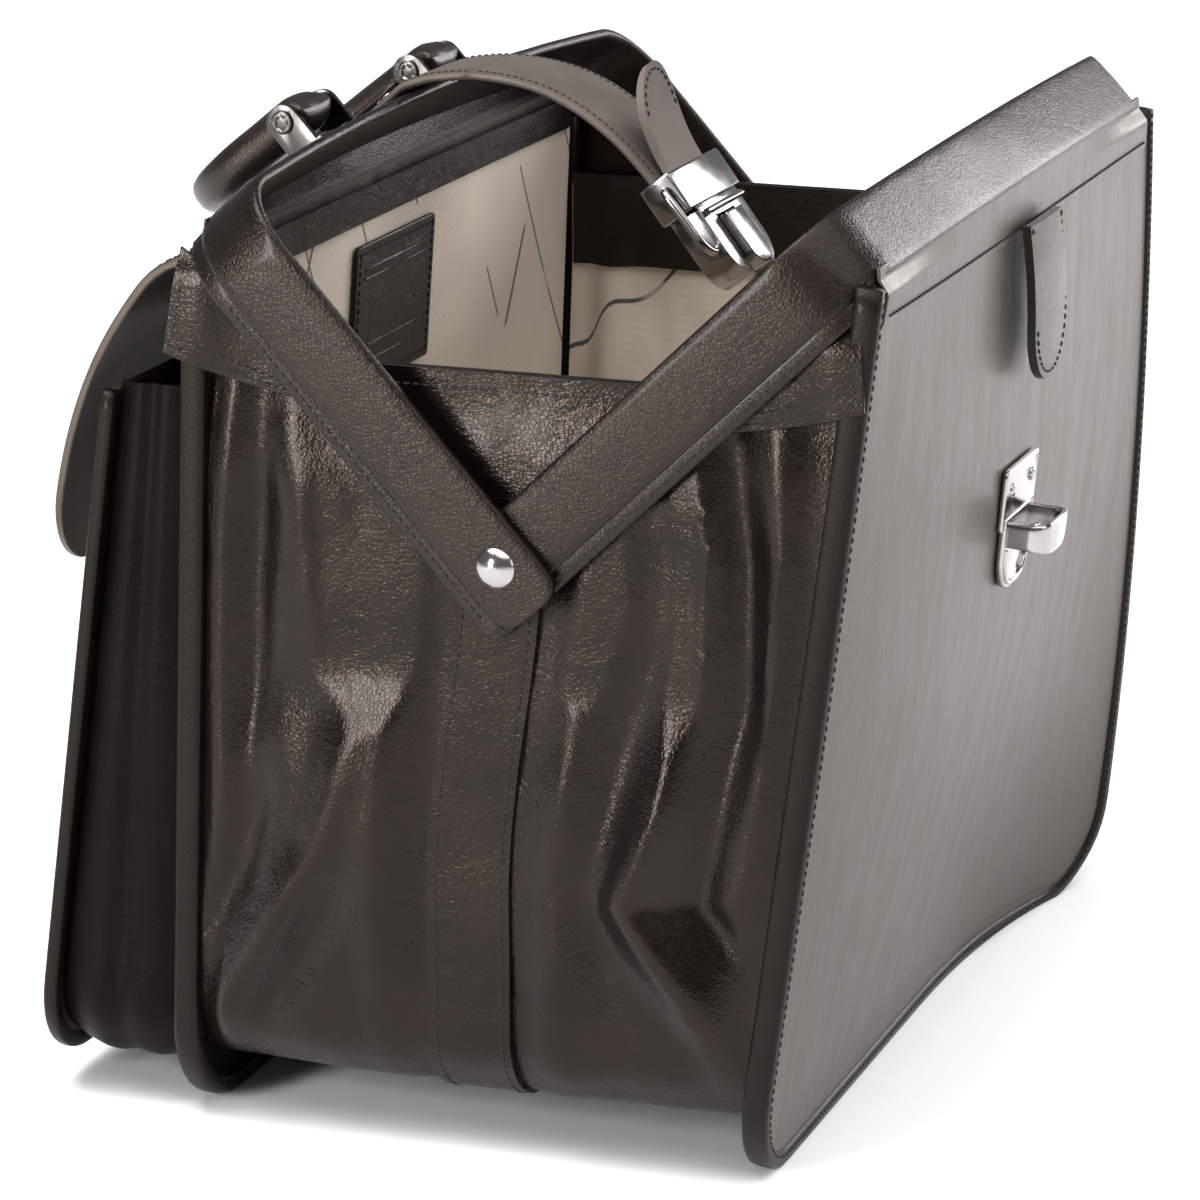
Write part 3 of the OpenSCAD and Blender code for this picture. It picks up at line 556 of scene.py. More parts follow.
def gussetPoint(w):
    # x, z and outward normal, w down from the top hem and then round under the bag
    straight = gusset["top"] - lean["seam"] - gusset["bend"]
    if w <= straight:
        return gusset["x"], gusset["top"] - w, 1.0, 0.0
    r = gusset["bend"]
    t = min((w - straight) / r, math.pi / 2)
    c, n = math.cos(t), math.sin(t)
    return gusset["x"] - r + r * c, lean["seam"] + r - r * n, c, -n


gussetDrop = gusset["top"] - lean["seam"] - gusset["bend"] + gusset["bend"] * math.pi / 2


def innerFace(half, x, z, out):
    # y of a wall at a height above the table
    s = (z - lean["seam"]) / math.cos(math.radians(lean[half]))
    return walls[half]["place"](x, s, out)[1]


def bandCentre(z):
    return -16.5 + 12 * smooth((215 - z) / 120)


def softSide(side, half, depth, thick, topDrop, reach, edgeOut):
    def put(u, v, inner):
        w = topDrop + (reach - topDrop) * v
        x, z, nx, nz = gussetPoint(w)
        centre = bandCentre(z)
        y = centre + (innerFace(half, side * x, z, edgeOut) - centre) * u
        # the folds fade out at the walls, at the hem, under the bag and beside the band
        hold = smooth((1 - u) / 0.12) * smooth(w / 10 + 0.35) * smooth((gussetDrop - w) / 25 + 0.15)
        centreHold = smooth((abs(y - centre) - 13.5) / 20)
        lift = foldLift(y, z, side) * hold * centreHold
        near = smooth((170 - z) / 50)          # the arms pass over the upper part near the middle
        lift = min(lift, 1.6 + 8 * max(near, smooth((abs(y + 18) - 62) / 24)))
        belly = math.sin(math.pi * min(max((z - 25) / 150, 0), 1)) * smooth(1.3 - abs(2 * u - 1))
        belly *= gusset["belly"] * (1 - smooth((z - 130) / 40))
        lift += belly * hold * centreHold - 3.2 * smooth((z - 226) / 42)
        lift += min(noise.noise(Vector((y * 0.045, z * 0.03, side * 3.0))) * gusset["small"] * hold, 0.5)
        d = lift - depth - (thick if inner else 0)
        return (side * (x + nx * d), y, z + nz * d)
    return put


# the line from the still middle of the bag to the wall that carries the outer edge
halves = {"front": ((0, -20, 140), (0, -math.cos(math.radians(7.21)), -math.sin(math.radians(7.21)))),
          "back": ((0, -6, 140), (0, 1, 0.036))}


def bendWithWall(obj):
    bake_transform(obj)


# depth, thickness, top and lower end down from the hem, distance from the wall, then CAD node,
# material, slot and rows
sides = {
    "leather": (0.0, 2.2, 0.0, gussetDrop, -5.6, "gusset", gussetLeather, "gusset_leather", 96),
    "lining": (2.3, 1.0, 4.0, gussetDrop - 2, -6.6, "end_lining", liningCloth, "lining_fabric", 60),
    "facing": (3.4, 1.4, 0.0, 36.0, -7.4, "gusset_facing", facingLeather, "facing_leather", 14),
}
for side, hand in ((-1, "left"), (1, "right")):
    for kind, (depth, thick, topDrop, reach, edgeOut, cad, material, slotName, rows) in sides.items():
        for half in halves:
            obj = slab("gusset_%s_%s_%s" % (kind, hand, half), gusset["cols"], rows,
                       softSide(side, half, depth, thick, topDrop, reach, edgeOut), material, 0)
            if half == "front":
                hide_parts(cad + "_" + hand)
            bendWithWall(obj)
    for half in halves:
        outer = softSide(side, half, 0, 2.2, 0, gussetDrop, -5.6)
        line = flatLine([np.array(outer(0.02 + 0.94 * k / 40, 5.5 / gussetDrop, 0)) + (side * 0.05, 0, 0)
                         for k in range(41)], (side, 0, 0))
        obj = stitches("gusset_hem_stitching_%s_%s" % (hand, half), [line])
        bendWithWall(obj)
print("gussets made")

# the middle band runs down one gusset, under the bag and up the other
band = {"width": 29, "thick": 1.5, "top": 228, "over": 0.35, "seam": 11.6}


def bandPoint(t, across, depth):
    # t runs from 0 at the left top to 1 at the right top
    hidden = gusset["top"] - band["top"]
    reach = gussetDrop - hidden
    total = 2 * reach + 2 * (gusset["x"] - gusset["bend"])
    a = t * total
    side = -1 if a < total / 2 else 1
    a = min(a, total - a)
    if a <= reach:
        x, z, nx, nz = gussetPoint(a + hidden)
    else:
        x, z, nx, nz = gusset["x"] - gusset["bend"] - (a - reach), lean["seam"], 0.0, -1.0
    y = bandCentre(z) + across
    swell = 0.35 * math.sin(a * 0.11 + side) + noise.noise(Vector((y * 0.05, a * 0.03, side * 5))) * 0.5
    lift = max(min(swell, 0.35), -0.1) + band["over"] + band["thick"] - depth
    return (side * (x + nx * lift), y, z + nz * lift)


obj = slab("gusset_centre_band", 10, 240,
           lambda u, v, inner: bandPoint(v, (u - 0.5) * band["width"], band["thick"] + 0.8 if inner else 0),
           gussetLeather, 0)
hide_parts("gusset_band")
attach(obj, "root")
lines = []
for across in (-band["seam"], band["seam"]):
    ends = [[np.array(bandPoint(t, across, depth)) for depth in (0, -1)]
            for t in np.linspace(0.012, 0.988, 260)]
    lines.append([(p, q - p) for p, q in ends])
obj = stitches("band_stitching", lines)
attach(obj, "root")


def bottomSkin(low, high, margin, half, sag):
    def put(u, v, inner):
        x = (2 * u - 1) * half
        front, back = [innerFace(wall, x, 19, -5.8 - margin) for wall in ("front", "back")]
        drop = sag * math.sin(math.pi * u) * math.sin(math.pi * v)
        return (x, front + (back - front) * v, (low if inner else high) - drop)
    return put


for name, cad, settings, material, slotName in (
        ("bottom_leather", "bottom_panel", (18.0, 20.4, 0, 146.4, 0.9), bindingLeather, "binding_leather"),
        ("bottom_board", "base_board", (20.6, 23.4, 1.2, 146.2, 0), fibreBoard, "board"),
        ("bottom_cloth", "bottom_lining", (23.5, 24.5, 1.4, 146.2, 0), liningCloth, "lining_fabric")):
    obj = slab(name, 40, 30, bottomSkin(*settings), material, 0)
    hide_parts(cad)
    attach(obj, "root")
print("bottom made")

# mouth frame: steel strips sewn into leather
strip = {"width": 26, "thick": 4.2, "end": 19, "foot": 7, "bend": 26, "rise": 6, "flangeAt": 15,
         "flangeHalf": 3.4, "seamAt": 15.6}
frames = {
    "front": {"place": frontFrame, "armX": 183.2, "arm": 156, "cover": paintedSheenPanelLeather},
    "back": {"place": backFrame, "armX": 188.0, "arm": 146, "cover": frameLeather},
}


def framePath(armX, arm):
    # (x, s, outward x, outward s) along the strip's middle, from the left foot to the right one
    half, r = armX - strip["thick"] / 2, strip["bend"] - strip["thick"] / 2
    high = arm - r
    left = [(-half, s, -1, 0) for s in np.concatenate([-strip["end"] + np.array([0, .4, 1.2, 2.6, 4.4, 6.5]),
                                                        np.linspace(-8, high, 24)])]
    left += [(-half + r - r * math.cos(t), high + r * math.sin(t), -math.cos(t), math.sin(t))
             for t in np.linspace(0, math.pi / 2, 12)[1:-1]]
    reach = armX - strip["bend"]
    bar = []
    for x in np.linspace(-reach, reach, 41):
        slope = -2 * strip["rise"] * x / reach ** 2
        size = math.hypot(slope, 1)
        bar.append((x, high + r + strip["rise"] * (1 - (x / reach) ** 2), -slope / size, 1 / size))
    return left + bar + [(-x, s, -nx, ns) for x, s, nx, ns in reversed(left)]


for key, facts in frames.items():
    place, arm, body = facts["place"], facts["arm"], key + "_frame"
    path = framePath(facts["armX"], arm)
    rings = []
    for x, s, nx, ns in path:
        fromEnd = s + strip["end"]
        r = strip["foot"]
        half = strip["width"] / 2 - (r - math.sqrt(max(r * r - (r - fromEnd) ** 2, 0)) if fromEnd < r else 0)
        ring = []
        for c, n in circle(28):
            across = half * shape(c, 0.3)
            thick = strip["thick"] / 2 * shape(n, 0.45)
            thick += 0.35 * (1 - (across / 13) ** 2) * (1 if n > 0 else 0)
            thick += 0.12 * noise.noise(Vector((x * 0.08, s * 0.08, across * 0.12)))
            ring.append(place(x + nx * thick, across, s + ns * thick))
        rings.append(ring)
    cover = loft(key + "_frame_leather", rings, frameLeather, 0)
    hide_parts(key + "_frame_cover", key + "_frame_steel")
    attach(cover, body)
    lines = []
    middle = facts["armX"] - strip["thick"] / 2
    for side, hand in ((-1, "left"), (1, "right")):
        rings = []
        for x, s, nx, ns in path[3:38]:      # up one arm and round its corner
            rings.append([place(-side * (x + nx * 1.05 * shape(n, 0.6)),
                                strip["flangeAt"] + strip["flangeHalf"] * shape(c, 0.5),
                                s + ns * 1.05 * shape(n, 0.6)) for c, n in circle(12)])
        edge = loft("%s_frame_flange_%s" % (key, hand), rings, frameLeather, 0)
        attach(edge, body)
        seam = [place(side * (middle + 1.1), strip["seamAt"], s) for s in np.linspace(-10, arm - 26, 60)]
        lines.append(flatLine(seam, (side, 0, 0)))
    piece = stitches(key + "_frame_stitching", lines)
    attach(piece, body)

# the leather turns from each bar down on to its wall
turnOver = {"half": 170, "seam": 11.5, "thick": 1.2}


def barTurn(wall):
    place, length = walls[wall]["place"], walls[wall]["length"]
    framePlace, arm = frames[wall]["place"], frames[wall]["arm"]
    reach = frames[wall]["armX"] - strip["bend"]

    def put(u, v, inner):
        x = (2 * u - 1) * turnOver["half"]
        rise = strip["rise"] * (1 - min(abs(x) / reach, 1) ** 2)
        stops = (place(x, length - 14, 2.1), place(x, length - 4, 2.7), framePlace(x, 13.6, arm + rise - 0.5),
                 framePlace(x, 10.5, arm + rise + 2.2))
        stops = [np.array(p) for p in stops]
        k = 0 if v < 0.4 else 1 if v < 0.75 else 2
        start, share = ((0, 0.4), (0.4, 0.35), (0.75, 0.25))[k]
        p = stops[k] + (stops[k + 1] - stops[k]) * (v - start) / share
        if inner:
            p = p + np.array(place(x, length - 10, 0)) - np.array(place(x, length - 10, turnOver["thick"]))
        return tuple(p)
    obj = slab(wall + "_bar_turn", 50, 16, put, frames[wall]["cover"], 0.3)
    low, high = put(0.5, 0.2, 0), put(0.5, 0.8, 0)
    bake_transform(obj)
    line = surfaceLine(place, [(x, length - turnOver["seam"]) for x in np.linspace(-166, 166, 90)], 2.5)
    piece = stitches(wall + "_bar_stitching", [line])
    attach(piece, wall + "_wall")


barTurn("front")
barTurn("back")

# corner wings: (y, z) of the lower and upper ends at the wall and at the arm; stepFrom is the height
# above which they lie inside the edge binding, and tuck how far they follow the bar's bend
wings = {
    "front": {"wall": [(-138.4, 266), (-136, 307)], "arm": [(-95, 256), (-84, 273)], "stepFrom": 284,
              "tuck": 4},
    "back": {"wall": [(99.4, 268), (93.5, 303)], "arm": [(56, 256), (49, 273)], "stepFrom": 292, "tuck": 0},
}
for key, facts in wings.items():
    (w0, w1), (a0, a1) = [np.array(facts[end], float) for end in ("wall", "arm")]
    for side, hand in ((-1, "left"), (1, "right")):
        def put(u, v, inner):
            low = w0 + (a0 - w0) * u + np.array((0, -1.32)) * math.sin(math.pi * u)
            y, z = low + (w1 + (a1 - w1) * u - low) * v
            lap = 180.9 - 3.1 * max(smooth((u - 0.16) / 0.4), smooth((z - facts["stepFrom"]) / 10))
            lap -= facts["tuck"] * smooth((z - 288) / 16)
            puff = 0.54 * math.sin(math.pi * u) * math.sin(math.pi * min(v * 1.2, 1))
            puff *= 0.3 if u > 0.6 else 1
            return (side * (lap + (-1.4 if inner else puff)), y, z)
        obj = slab("%s_wing_leather_%s" % (key, hand), 22, 14, put, gussetLeather, 0.4)
        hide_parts("%s_wing_%s" % (key, hand))
        start, end = [(0, p[0] * mm, p[1] * mm) for p in (w0, a0 * .8 + w0 * .2)]
        seams = [[put(u, rise, 0) for u in np.linspace(0.03, 0.97, 30)] for rise in (0.1, 0.22)]
        seams.append([put(0.06, v, 0) for v in np.linspace(0.25, 0.95, 12)])
        seam = stitches("%s_wing_stitching_%s" % (key, hand),
                        [flatLine(points, (side, 0, 0)) for points in seams], 0.9)
        for piece in (obj, seam):
            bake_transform(piece)
print("mouth frame made")


def refined(node, width, body, material):
    # the CAD part's own shape with its sharp edges broken
    work = bmesh.new()
    work.from_mesh(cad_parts[node].data)
    bmesh.ops.remove_doubles(work, verts=work.verts, dist=2e-6)
    bmesh.ops.dissolve_limit(work, angle_limit=math.radians(2), verts=work.verts, edges=work.edges)
    mesh = bpy.data.meshes.new(node + "_polished")
    work.to_mesh(mesh)
    work.free()
    mesh.materials.append(material)
    obj = bpy.data.objects.new(node + "_polished", mesh)
    scene.collection.objects.link(obj)
    roundEdges(obj, width, 3, 32, 40)
    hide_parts(node)
    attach(obj, body)


for node, width, body, material in (
        ("pivot_rivets", 0.3, "back_frame", nickel), ("handle_brackets", 0.55, "back_frame", shadedNickel),
        ("bracket_screws", 0.25, "back_frame", shadedNickel), ("handle_pins", 0.3, "back_frame", shadedNickel),
        ("strap_rivets", 0.3, "back_frame", nickel), ("lock_clamp", 0.9, "strap_tip", nickel),
        ("lock_case", 0.9, "strap_tip", nickel), ("lock_button", 1.3, "lock_button", nickel),
        ("catch_pin", 0.1, "front_wall", nickel), ("snap_cap", 0.35, "pocket_flap", nickel),
        ("snap_stud", 0.3, "back_wall", nickel)):
    refined(node, width, body, material)


def onHandle(x, y, z):
    c, n = math.cos(math.radians(3)), math.sin(math.radians(3))
    return backFrame(x, 9 + y * c - z * n, 168 + y * n + z * c)


# recessed screw heads at the ends of the handle pins: radius and height of each ring
heads = {"x": 58, "out": 18.6, "socket": 1.9,
         "rings": ((3.9, 0.0), (3.9, 0.7), (3.4, 1.15), (2.2, 1.25), (1.9, 1.1), (1.748, 0.3), (0.05, 0.3))}
for hand, x0 in (("left", -heads["x"]), ("right", heads["x"])):
    for end in (-1, 1):
        rings = []
        for r, out in heads["rings"]:
            lobes = 0.16 if abs(r - heads["socket"]) < 0.2 else 0
            ring = []
            for k, (c, n) in enumerate(circle(24)):
                wide = r * (1 + lobes * math.cos(math.pi * k / 2))
                ring.append(onHandle(x0 + end * (heads["out"] + out), wide * c, wide * n))
            rings.append(ring)
        name = "pin_head_%s_%s" % (hand, "outer" if end * x0 > 0 else "inner")
        obj = loft(name, rings, shadedNickel, 35)
        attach(obj, "back_frame")

# padded handle: half widths of leg and grip, bend radius, where the bend starts, thickness
handle = {"x": 58, "legHalf": 14.9, "gripHalf": 11, "bend": 21, "bendFrom": 26, "thick": 7.45, "lip": 4.6}


def handlePath():
    # (x, y, outward x, outward y, half width, half thickness)
    x0, r, low, thick = handle["x"], handle["bend"], handle["bendFrom"], handle["thick"]
    leg, grip = handle["legHalf"], handle["gripHalf"]
    rows = []
    for y in (-7.3, -6.9, -6.0, -4.4, -2.2, 0, 4, 9, 15, 21, low):
        rows.append((-x0, y, -1, 0, leg, math.sqrt(max(thick ** 2 - y * y, 0.3)) if y < 0 else thick))
    for t in np.linspace(0, math.pi / 2, 12)[1:]:
        c, n = math.cos(t), math.sin(t)
        rows.append((-x0 + r - r * c, low + r * n, -c, n, leg + (grip - leg) * smooth(t / 1.57), thick))
    for x in np.linspace(r - x0, x0 - r, 22)[1:-1]:
        rows.append((x, low + r, 0, 1, grip, thick))
    return rows + [(-x, y, -nx, ny, a, b) for x, y, nx, ny, a, b in reversed(rows[:22])]


rings, lipRings, lines = [], [], [[], []]
for x, y, nx, ny, half, thick in handlePath():
    ring = []
    for c, n in circle(28):
        across = handle["lip"] / 2 + (half - handle["lip"] / 2) * shape(c, 0.62)
        lift = thick * shape(n, 0.72) * (0.93 + 0.07 * (1 - (c * c)))
        lift += 0.35 * noise.noise(Vector((x * 0.07, y * 0.07, across * 0.2 + n)))
        ring.append(onHandle(x + nx * across, y + ny * across, lift * min(1, thick / 2)))
    rings.append(ring)
    if y > 4:      # the seam lip starts above the pins
        places = [(3.2 - half + 3.4 * shape(c, 0.5), 1.3 * shape(n, 0.6)) for c, n in circle(12)]
        lipRings.append([onHandle(x + nx * across, y + ny * across, lift) for across, lift in places])
        for line, sign in zip(lines, (1, -1)):
            seamAt = half - 2.4
            p, q = [np.array(onHandle(x - nx * seamAt, y - ny * seamAt, sign * z)) for z in (1.25, 2.25)]
            line.append((p, q - p))
pad = loft("handle_padding", rings, strapLeather, 0)
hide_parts("handle_cover", "handle_core")
lip = loft("handle_seam_lip", lipRings, strapLeather, 0)
seam = stitches("handle_stitching", lines, 1.1)
for obj in (pad, lip, seam):
    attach(obj, "handle")
print("handle made")

# closing strap, in side view from its foot on the back bar
strap = {"half": 23.5, "thick": 3.2, "seam": 19.8, "step": 2.5, "splitAt": 54}
strapPoints = [backFrame(0, out, 156.9)[1:] for out in (11.5, 7, 2, -3, -7, -11)]
strapPoints += [(70, 334.6), (62, 336), (52, 336.8), (40, 336), (28, 333.5), (17, 329), (7, 323), (-2, 316),
                (-10, 308), (-17, 300), (-23, 292)]


def ribbon(name, path, half, thick, material):
    # a leather strap along a side-view path, with rounded edges
    rings = []
    for p, along in headings(path):
        up = np.array((-along[1], along[0])) * thick / 2
        rings.append([(half * shape(c, 0.28), *(p + up * shape(n, 0.5))) for c, n in circle(24)])
    return loft(name, rings, material, 0)


strapPath = curveThrough(strapPoints, strap["step"])
split = int(np.argmin([abs(p[0] - strap["splitAt"]) for p in strapPath]))
# path, first stitched point, bodies, where the bend starts and ends, CAD nodes
strapPieces = {
    "strap_upper": (strapPath[:split + 1], 2, ("back_frame", "strap"), (81.4, 328.8), (69, 334.9),
                    ("closure_strap", "strap_tail")),
    "strap_lower": (strapPath[split:], 1, ("strap", "strap_tip"), (35, 335), (20, 330.8), ("strap_end",)),
}
for name, (path, first, bodies, start, end, nodes) in strapPieces.items():
    obj = ribbon(name, path, strap["half"], strap["thick"], paintedSheenStrapLeather)
    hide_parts(*nodes)
    lines = []
    for across in (-strap["seam"], strap["seam"]):
        for face in (-1, 1):
            line = []
            for p, along in list(headings(path))[first:]:
                up = face * np.array((-along[1], along[0]))
                y, z = p + up * (strap["thick"] / 2 - 0.08)
                line.append((np.array((across, y, z)), np.array((0, *up))))
            lines.append(line)
    seam = stitches(name + "_stitching", lines, 0.8)
    for piece in (obj, seam):
        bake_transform(piece)


def onLock(x, y, z):
    return (x, -23 + 0.8 * y + 0.6 * z, 292 - 0.6 * y + 0.8 * z)


def filled(name, outline, step, place, thick, material, edge):
    # an outline filled with a grid of rows so that it can bend: rows run across in x
    pts = np.array(outline)
    low, high = pts[:, 1].min(), pts[:, 1].max()

    def span(z):
        xs = []
        for (x0, z0), (x1, z1) in zip(pts, np.roll(pts, -1, 0)):
            if (z0 - z) * (z1 - z) <= 0 and abs(z1 - z0) > 1e-9:
                xs.append(x0 + (x1 - x0) * (z - z0) / (z1 - z0))
        return (min(xs), max(xs)) if xs else (0, 0)

    def put(u, v, inner):
        z = low + (high - low) * (0.5 - 0.5 * math.cos(math.pi * (0.004 + 0.992 * v)))
        left, right = span(z)
        return place(left + (right - left) * u, z, thick if inner else 0)
    return slab(name, 14, max(6, int((high - low) / step)), put, material, edge)


# the strap's tip turns back up through the clamp and stands away from the strap
tongue = {"half": 17, "low": 2, "high": 50, "thick": 3.0, "tip": 16.5, "seam": 2.4, "curl": 0.0075}
outline = roundedOutline(-tongue["half"], tongue["half"], tongue["low"], tongue["high"],
                         (1, 1, tongue["tip"], tongue["tip"]), 10)


def onTongue(x, z, y):
    return onLock(x, -6.1 - tongue["curl"] * max(z - 12, 0) ** 2 + y, z)


obj = filled("strap_tongue", outline, 2.2, onTongue, tongue["thick"], tongueLeather, 0.6)
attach(obj, "strap_tip")
seam = flatLine([onTongue(x, z, -0.05) for x, z in inset(outline, tongue["seam"]) if z > 15], (0, -0.8, 0.6))
obj = stitches("strap_tongue_stitching", [seam])
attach(obj, "strap_tip")


def roundTube(name, points, radius, place, material, step=1.6, sides=12):
    rings = []
    for p, along in headings(curveThrough(points, step)):
        side = np.cross(along, (0.13, 0.97, 0.21))
        side /= np.linalg.norm(side)
        up = np.cross(side, along)
        rings.append([place(*(p + radius * (side * c + up * n))) for c, n in circle(sides)])
    return loft(name, rings, material, 60)


# a bent wire at the clamp's side, and the bar under the case
wire = [(-27.5, -4, 9), (-30.2, -4.5, 8), (-31, -5, 3), (-31, -5.4, -6), (-30.6, -5.6, -13),
        (-27.5, -5.6, -17), (-21.5, -5.2, -18)]
lowerBar = [(-19, -9.2, -4.5), (0, -9.8, -4.5), (19, -9.2, -4.5)]
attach(roundTube("lock_side_wire", wire, 1.5, onLock, nickel), "strap_tip")
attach(roundTube("lock_lower_bar", lowerBar, 1.3, onLock, nickel), "strap_tip")
print("strap and lock made")

# catch: how far out and how high on the front wall, and its tilt
catch = {"out": 13.43, "s": 168, "turn": 1.83, "shieldThick": 2.7, "rivetX": 13, "rivetZ": 20,
         "rivet": ((2.6, 1.9), (2.5, 2.5), (1.7, 3.0), (0.1, 3.2))}


def onCatch(x, z, y):
    c, n = math.cos(math.radians(catch["turn"])), math.sin(math.radians(catch["turn"]))
    return frontWall(x, catch["out"] + y * c - z * n, catch["s"] + y * n + z * c)


top = roundedOutline(-21, 21, 6, 28, (1.5, 1.5, 2.5, 2.5))
shield = [(18 * shape(math.cos(t), 0.75), -1 + 16.4 * shape(math.sin(t), 0.9))
          for t in np.linspace(math.pi, 2 * math.pi, 28)] + [(18, 10.5), (-18, 10.5)]
rim = [(x, z, catch["shieldThick"]) for x, z in inset(shield, 2.2)[:28]]
topPlate = plate("catch_plate_top", top, 0, 2, 0.6, onCatch, nickel)
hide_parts("catch_plate", "catch_loop", "catch_backing")
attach(topPlate, "front_wall")
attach(plate("catch_shield", shield, 0, catch["shieldThick"], 0.9, onCatch, nickel), "front_wall")
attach(roundTube("catch_shield_rim", rim, 0.95, onCatch, nickel, 1.5), "front_wall")
for x, hand in ((-catch["rivetX"], "left"), (catch["rivetX"], "right")):
    rings = [[onCatch(x + r * c, catch["rivetZ"] + r * n, high) for c, n in circle(20)]
             for r, high in catch["rivet"]]
    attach(loft("catch_rivet_" + hand, rings, nickel, 60), "front_wall")
# the arched loop seen from above: (x, distance from the plate)
bow = {"half": 15, "radius": 6, "high": 4.6, "thick": 1.15, "z": 4.5}
bowPoints = [(-bow["half"], d) for d in (1.5, 5, 8.5)]
bowPoints += [(bow["radius"] * (1 - math.cos(t)) - bow["half"], 10.5 + 5.5 * math.sin(t))
              for t in np.linspace(0.2, 1.57, 6)]
bowPoints += [(-4, 16.6), (4, 16.6)] + [(-x, d) for x, d in reversed(bowPoints)]
rings = []
for p, along in headings(curveThrough(bowPoints, 1.2)):
    out = np.array((-along[1], along[0])) * bow["thick"]
    high = bow["high"] + 1.6 * smooth((p[1] - 8) / 8) * math.cos(p[0] / 15 * 1.2)
    ring = []
    for c, n in circle(16):
        x, d = p + out * shape(n, 0.6)
        ring.append(onCatch(x, bow["z"] + high * shape(c, 0.55), d))
    rings.append(ring)
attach(loft("catch_bow", rings, nickel, 60), "front_wall")

tab = {"half": 21, "long": 56, "thick": 3, "top": 281.3, "out": 7.3, "turn": 9, "swell": 1.6, "seam": 2.6}
tabOutline = roundedOutline(-tab["half"], tab["half"], -tab["long"], 0, (20.5, 20.5, 0.6, 0.6), 12)


def onTab(x, z, y):
    c, n = math.cos(math.radians(tab["turn"])), math.sin(math.radians(tab["turn"]))
    y += tab["swell"] * math.sin(math.pi * min(max(-z / tab["long"], 0), 1)) - 0.9 * (x / tab["half"]) ** 2
    return frontWall(x, tab["out"] + y * c - z * n, tab["top"] + y * n + z * c)


obj = filled("pull_tab_leather", tabOutline, 2.4, lambda x, z, y: onTab(x, z, tab["thick"] - y), tab["thick"],
             strapLeather, 0.6)
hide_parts("pull_tab")
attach(obj, "pull_tab")
seam = flatLine([onTab(x, z, tab["thick"]) for x, z in inset(tabOutline, tab["seam"])], (0, -1, 0))
obj = stitches("pull_tab_stitching", [seam[:-1]])
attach(obj, "pull_tab")

# small leather patch inside, with tooled lines: (height, left end, right end)
patch = {"left": -49, "right": 25, "low": 208, "high": 261, "face": -7.2, "thick": 1.8,
         "tooled": ((252, -41, 17), (248.5, -41, 17), (224, -36, 12), (218, -36, -4))}
patchOutline = roundedOutline(patch["left"], patch["right"], patch["low"], patch["high"], (2, 2, 2, 2), 3)
obj = filled("lining_patch_leather", patchOutline, 4, lambda x, s, y: onBack(x, s, patch["face"] + y),
             patch["thick"], facingLeather, 0.5)
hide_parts("lining_patch")
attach(obj, "back_wall")
border = list(inset(patchOutline, 3))
seam = flatLine([onBack(x, s, patch["face"]) for x, s in border + border[:1]], (0, -1, 0))
obj = stitches("lining_patch_stitching", [seam])
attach(obj, "back_wall")
for number, (s, left, right) in enumerate(patch["tooled"]):
    ends = [onBack(x, s, patch["face"] - 0.05) for x in (left, right)]
    obj = roundTube("lining_patch_line_%d" % number, ends, 0.5, lambda x, y, z: (x, y, z), facingLeather,
                    6, 6)
    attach(obj, "back_wall")
print("catch, tab and patch made")

# outer pocket on the back wall
pocket = {"half": 176, "length": 244.1, "corner": 34, "bulge": 3.0, "foot": 4.5, "edge": 6, "thick": 2.6}


def onPocket(x, s, out):
    swell = math.sin(math.pi * min(max(s / pocket["length"], 0), 1))
    swell *= 1 - min(abs(x) / pocket["half"], 1) ** 2.2
    return pocketPlane(x, pocket["bulge"] * swell + out, s)


def pocketSkin(u, v, inner):
    s = pocket["foot"] + (pocket["length"] - pocket["foot"]) * v ** 1.35
    half = wallHalf(s, pocket["foot"], pocket["half"] - 4.6, pocket["corner"] - 4.5)
    return onPocket((2 * u - 1) * half, s, pocket["thick"] * (-0.5 if inner else 0.5))


obj = slab("pocket_front_leather", 48, 36, pocketSkin, paintedSheenPanelLeather, 0.4)
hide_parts("pocket_front")
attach(obj, "back_wall")
path = edgePath(0, pocket["length"], pocket["half"], pocket["corner"])
obj = foldedEdge("pocket_edge_binding", onPocket, path, pocket["edge"], -2.6, 2.6)
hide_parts("pocket_binding")
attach(obj, "back_wall")
lines = [surfaceLine(onPocket, [(x - nx * 4.2, s - ns * 4.2) for x, s, nx, ns in path], 2.45),
         surfaceLine(onPocket, [(x, pocket["length"] - 5) for x in np.linspace(-166, 166, 80)], 1.35)]
obj = stitches("pocket_stitching", lines)
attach(obj, "back_wall")

gussetPath = edgePath(0, pocket["length"] - 4, 169.5, 28.0)


def pocketSide(u, v, inner):
    place = v * (len(gussetPath) - 1)
    k = min(int(place), len(gussetPath) - 2)
    a, b = np.array(gussetPath[k]), np.array(gussetPath[k + 1])
    x, s, nx, ns = a + (b - a) * (place - k)
    s += 7
    z = 10 + s * 0.9914
    wallY = innerFace("back", x, max(z, 19), 3.3)
    y = wallY + (pocketPlane(x, -2.4, s)[1] - wallY) * u
    low = smooth(1 - s / 60)      # fuller towards the bottom, with one fold along the middle
    swell = (3.2 + 4.0 * low) * math.sin(math.pi * u) - 2.4 * math.exp(-((u - 0.5) / 0.12) ** 2)
    swell += 0.8 * noise.noise(Vector((y * 0.06, v * 9, x * 0.01)))
    if inner:
        swell -= 1.6
    return (x + nx * swell, y, max(z + ns * swell, 3.0))


obj = slab("pocket_side_leather", 18, 150, pocketSide, mattShadedPocketLeather, 0)
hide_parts("pocket_gusset")
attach(obj, "back_wall")

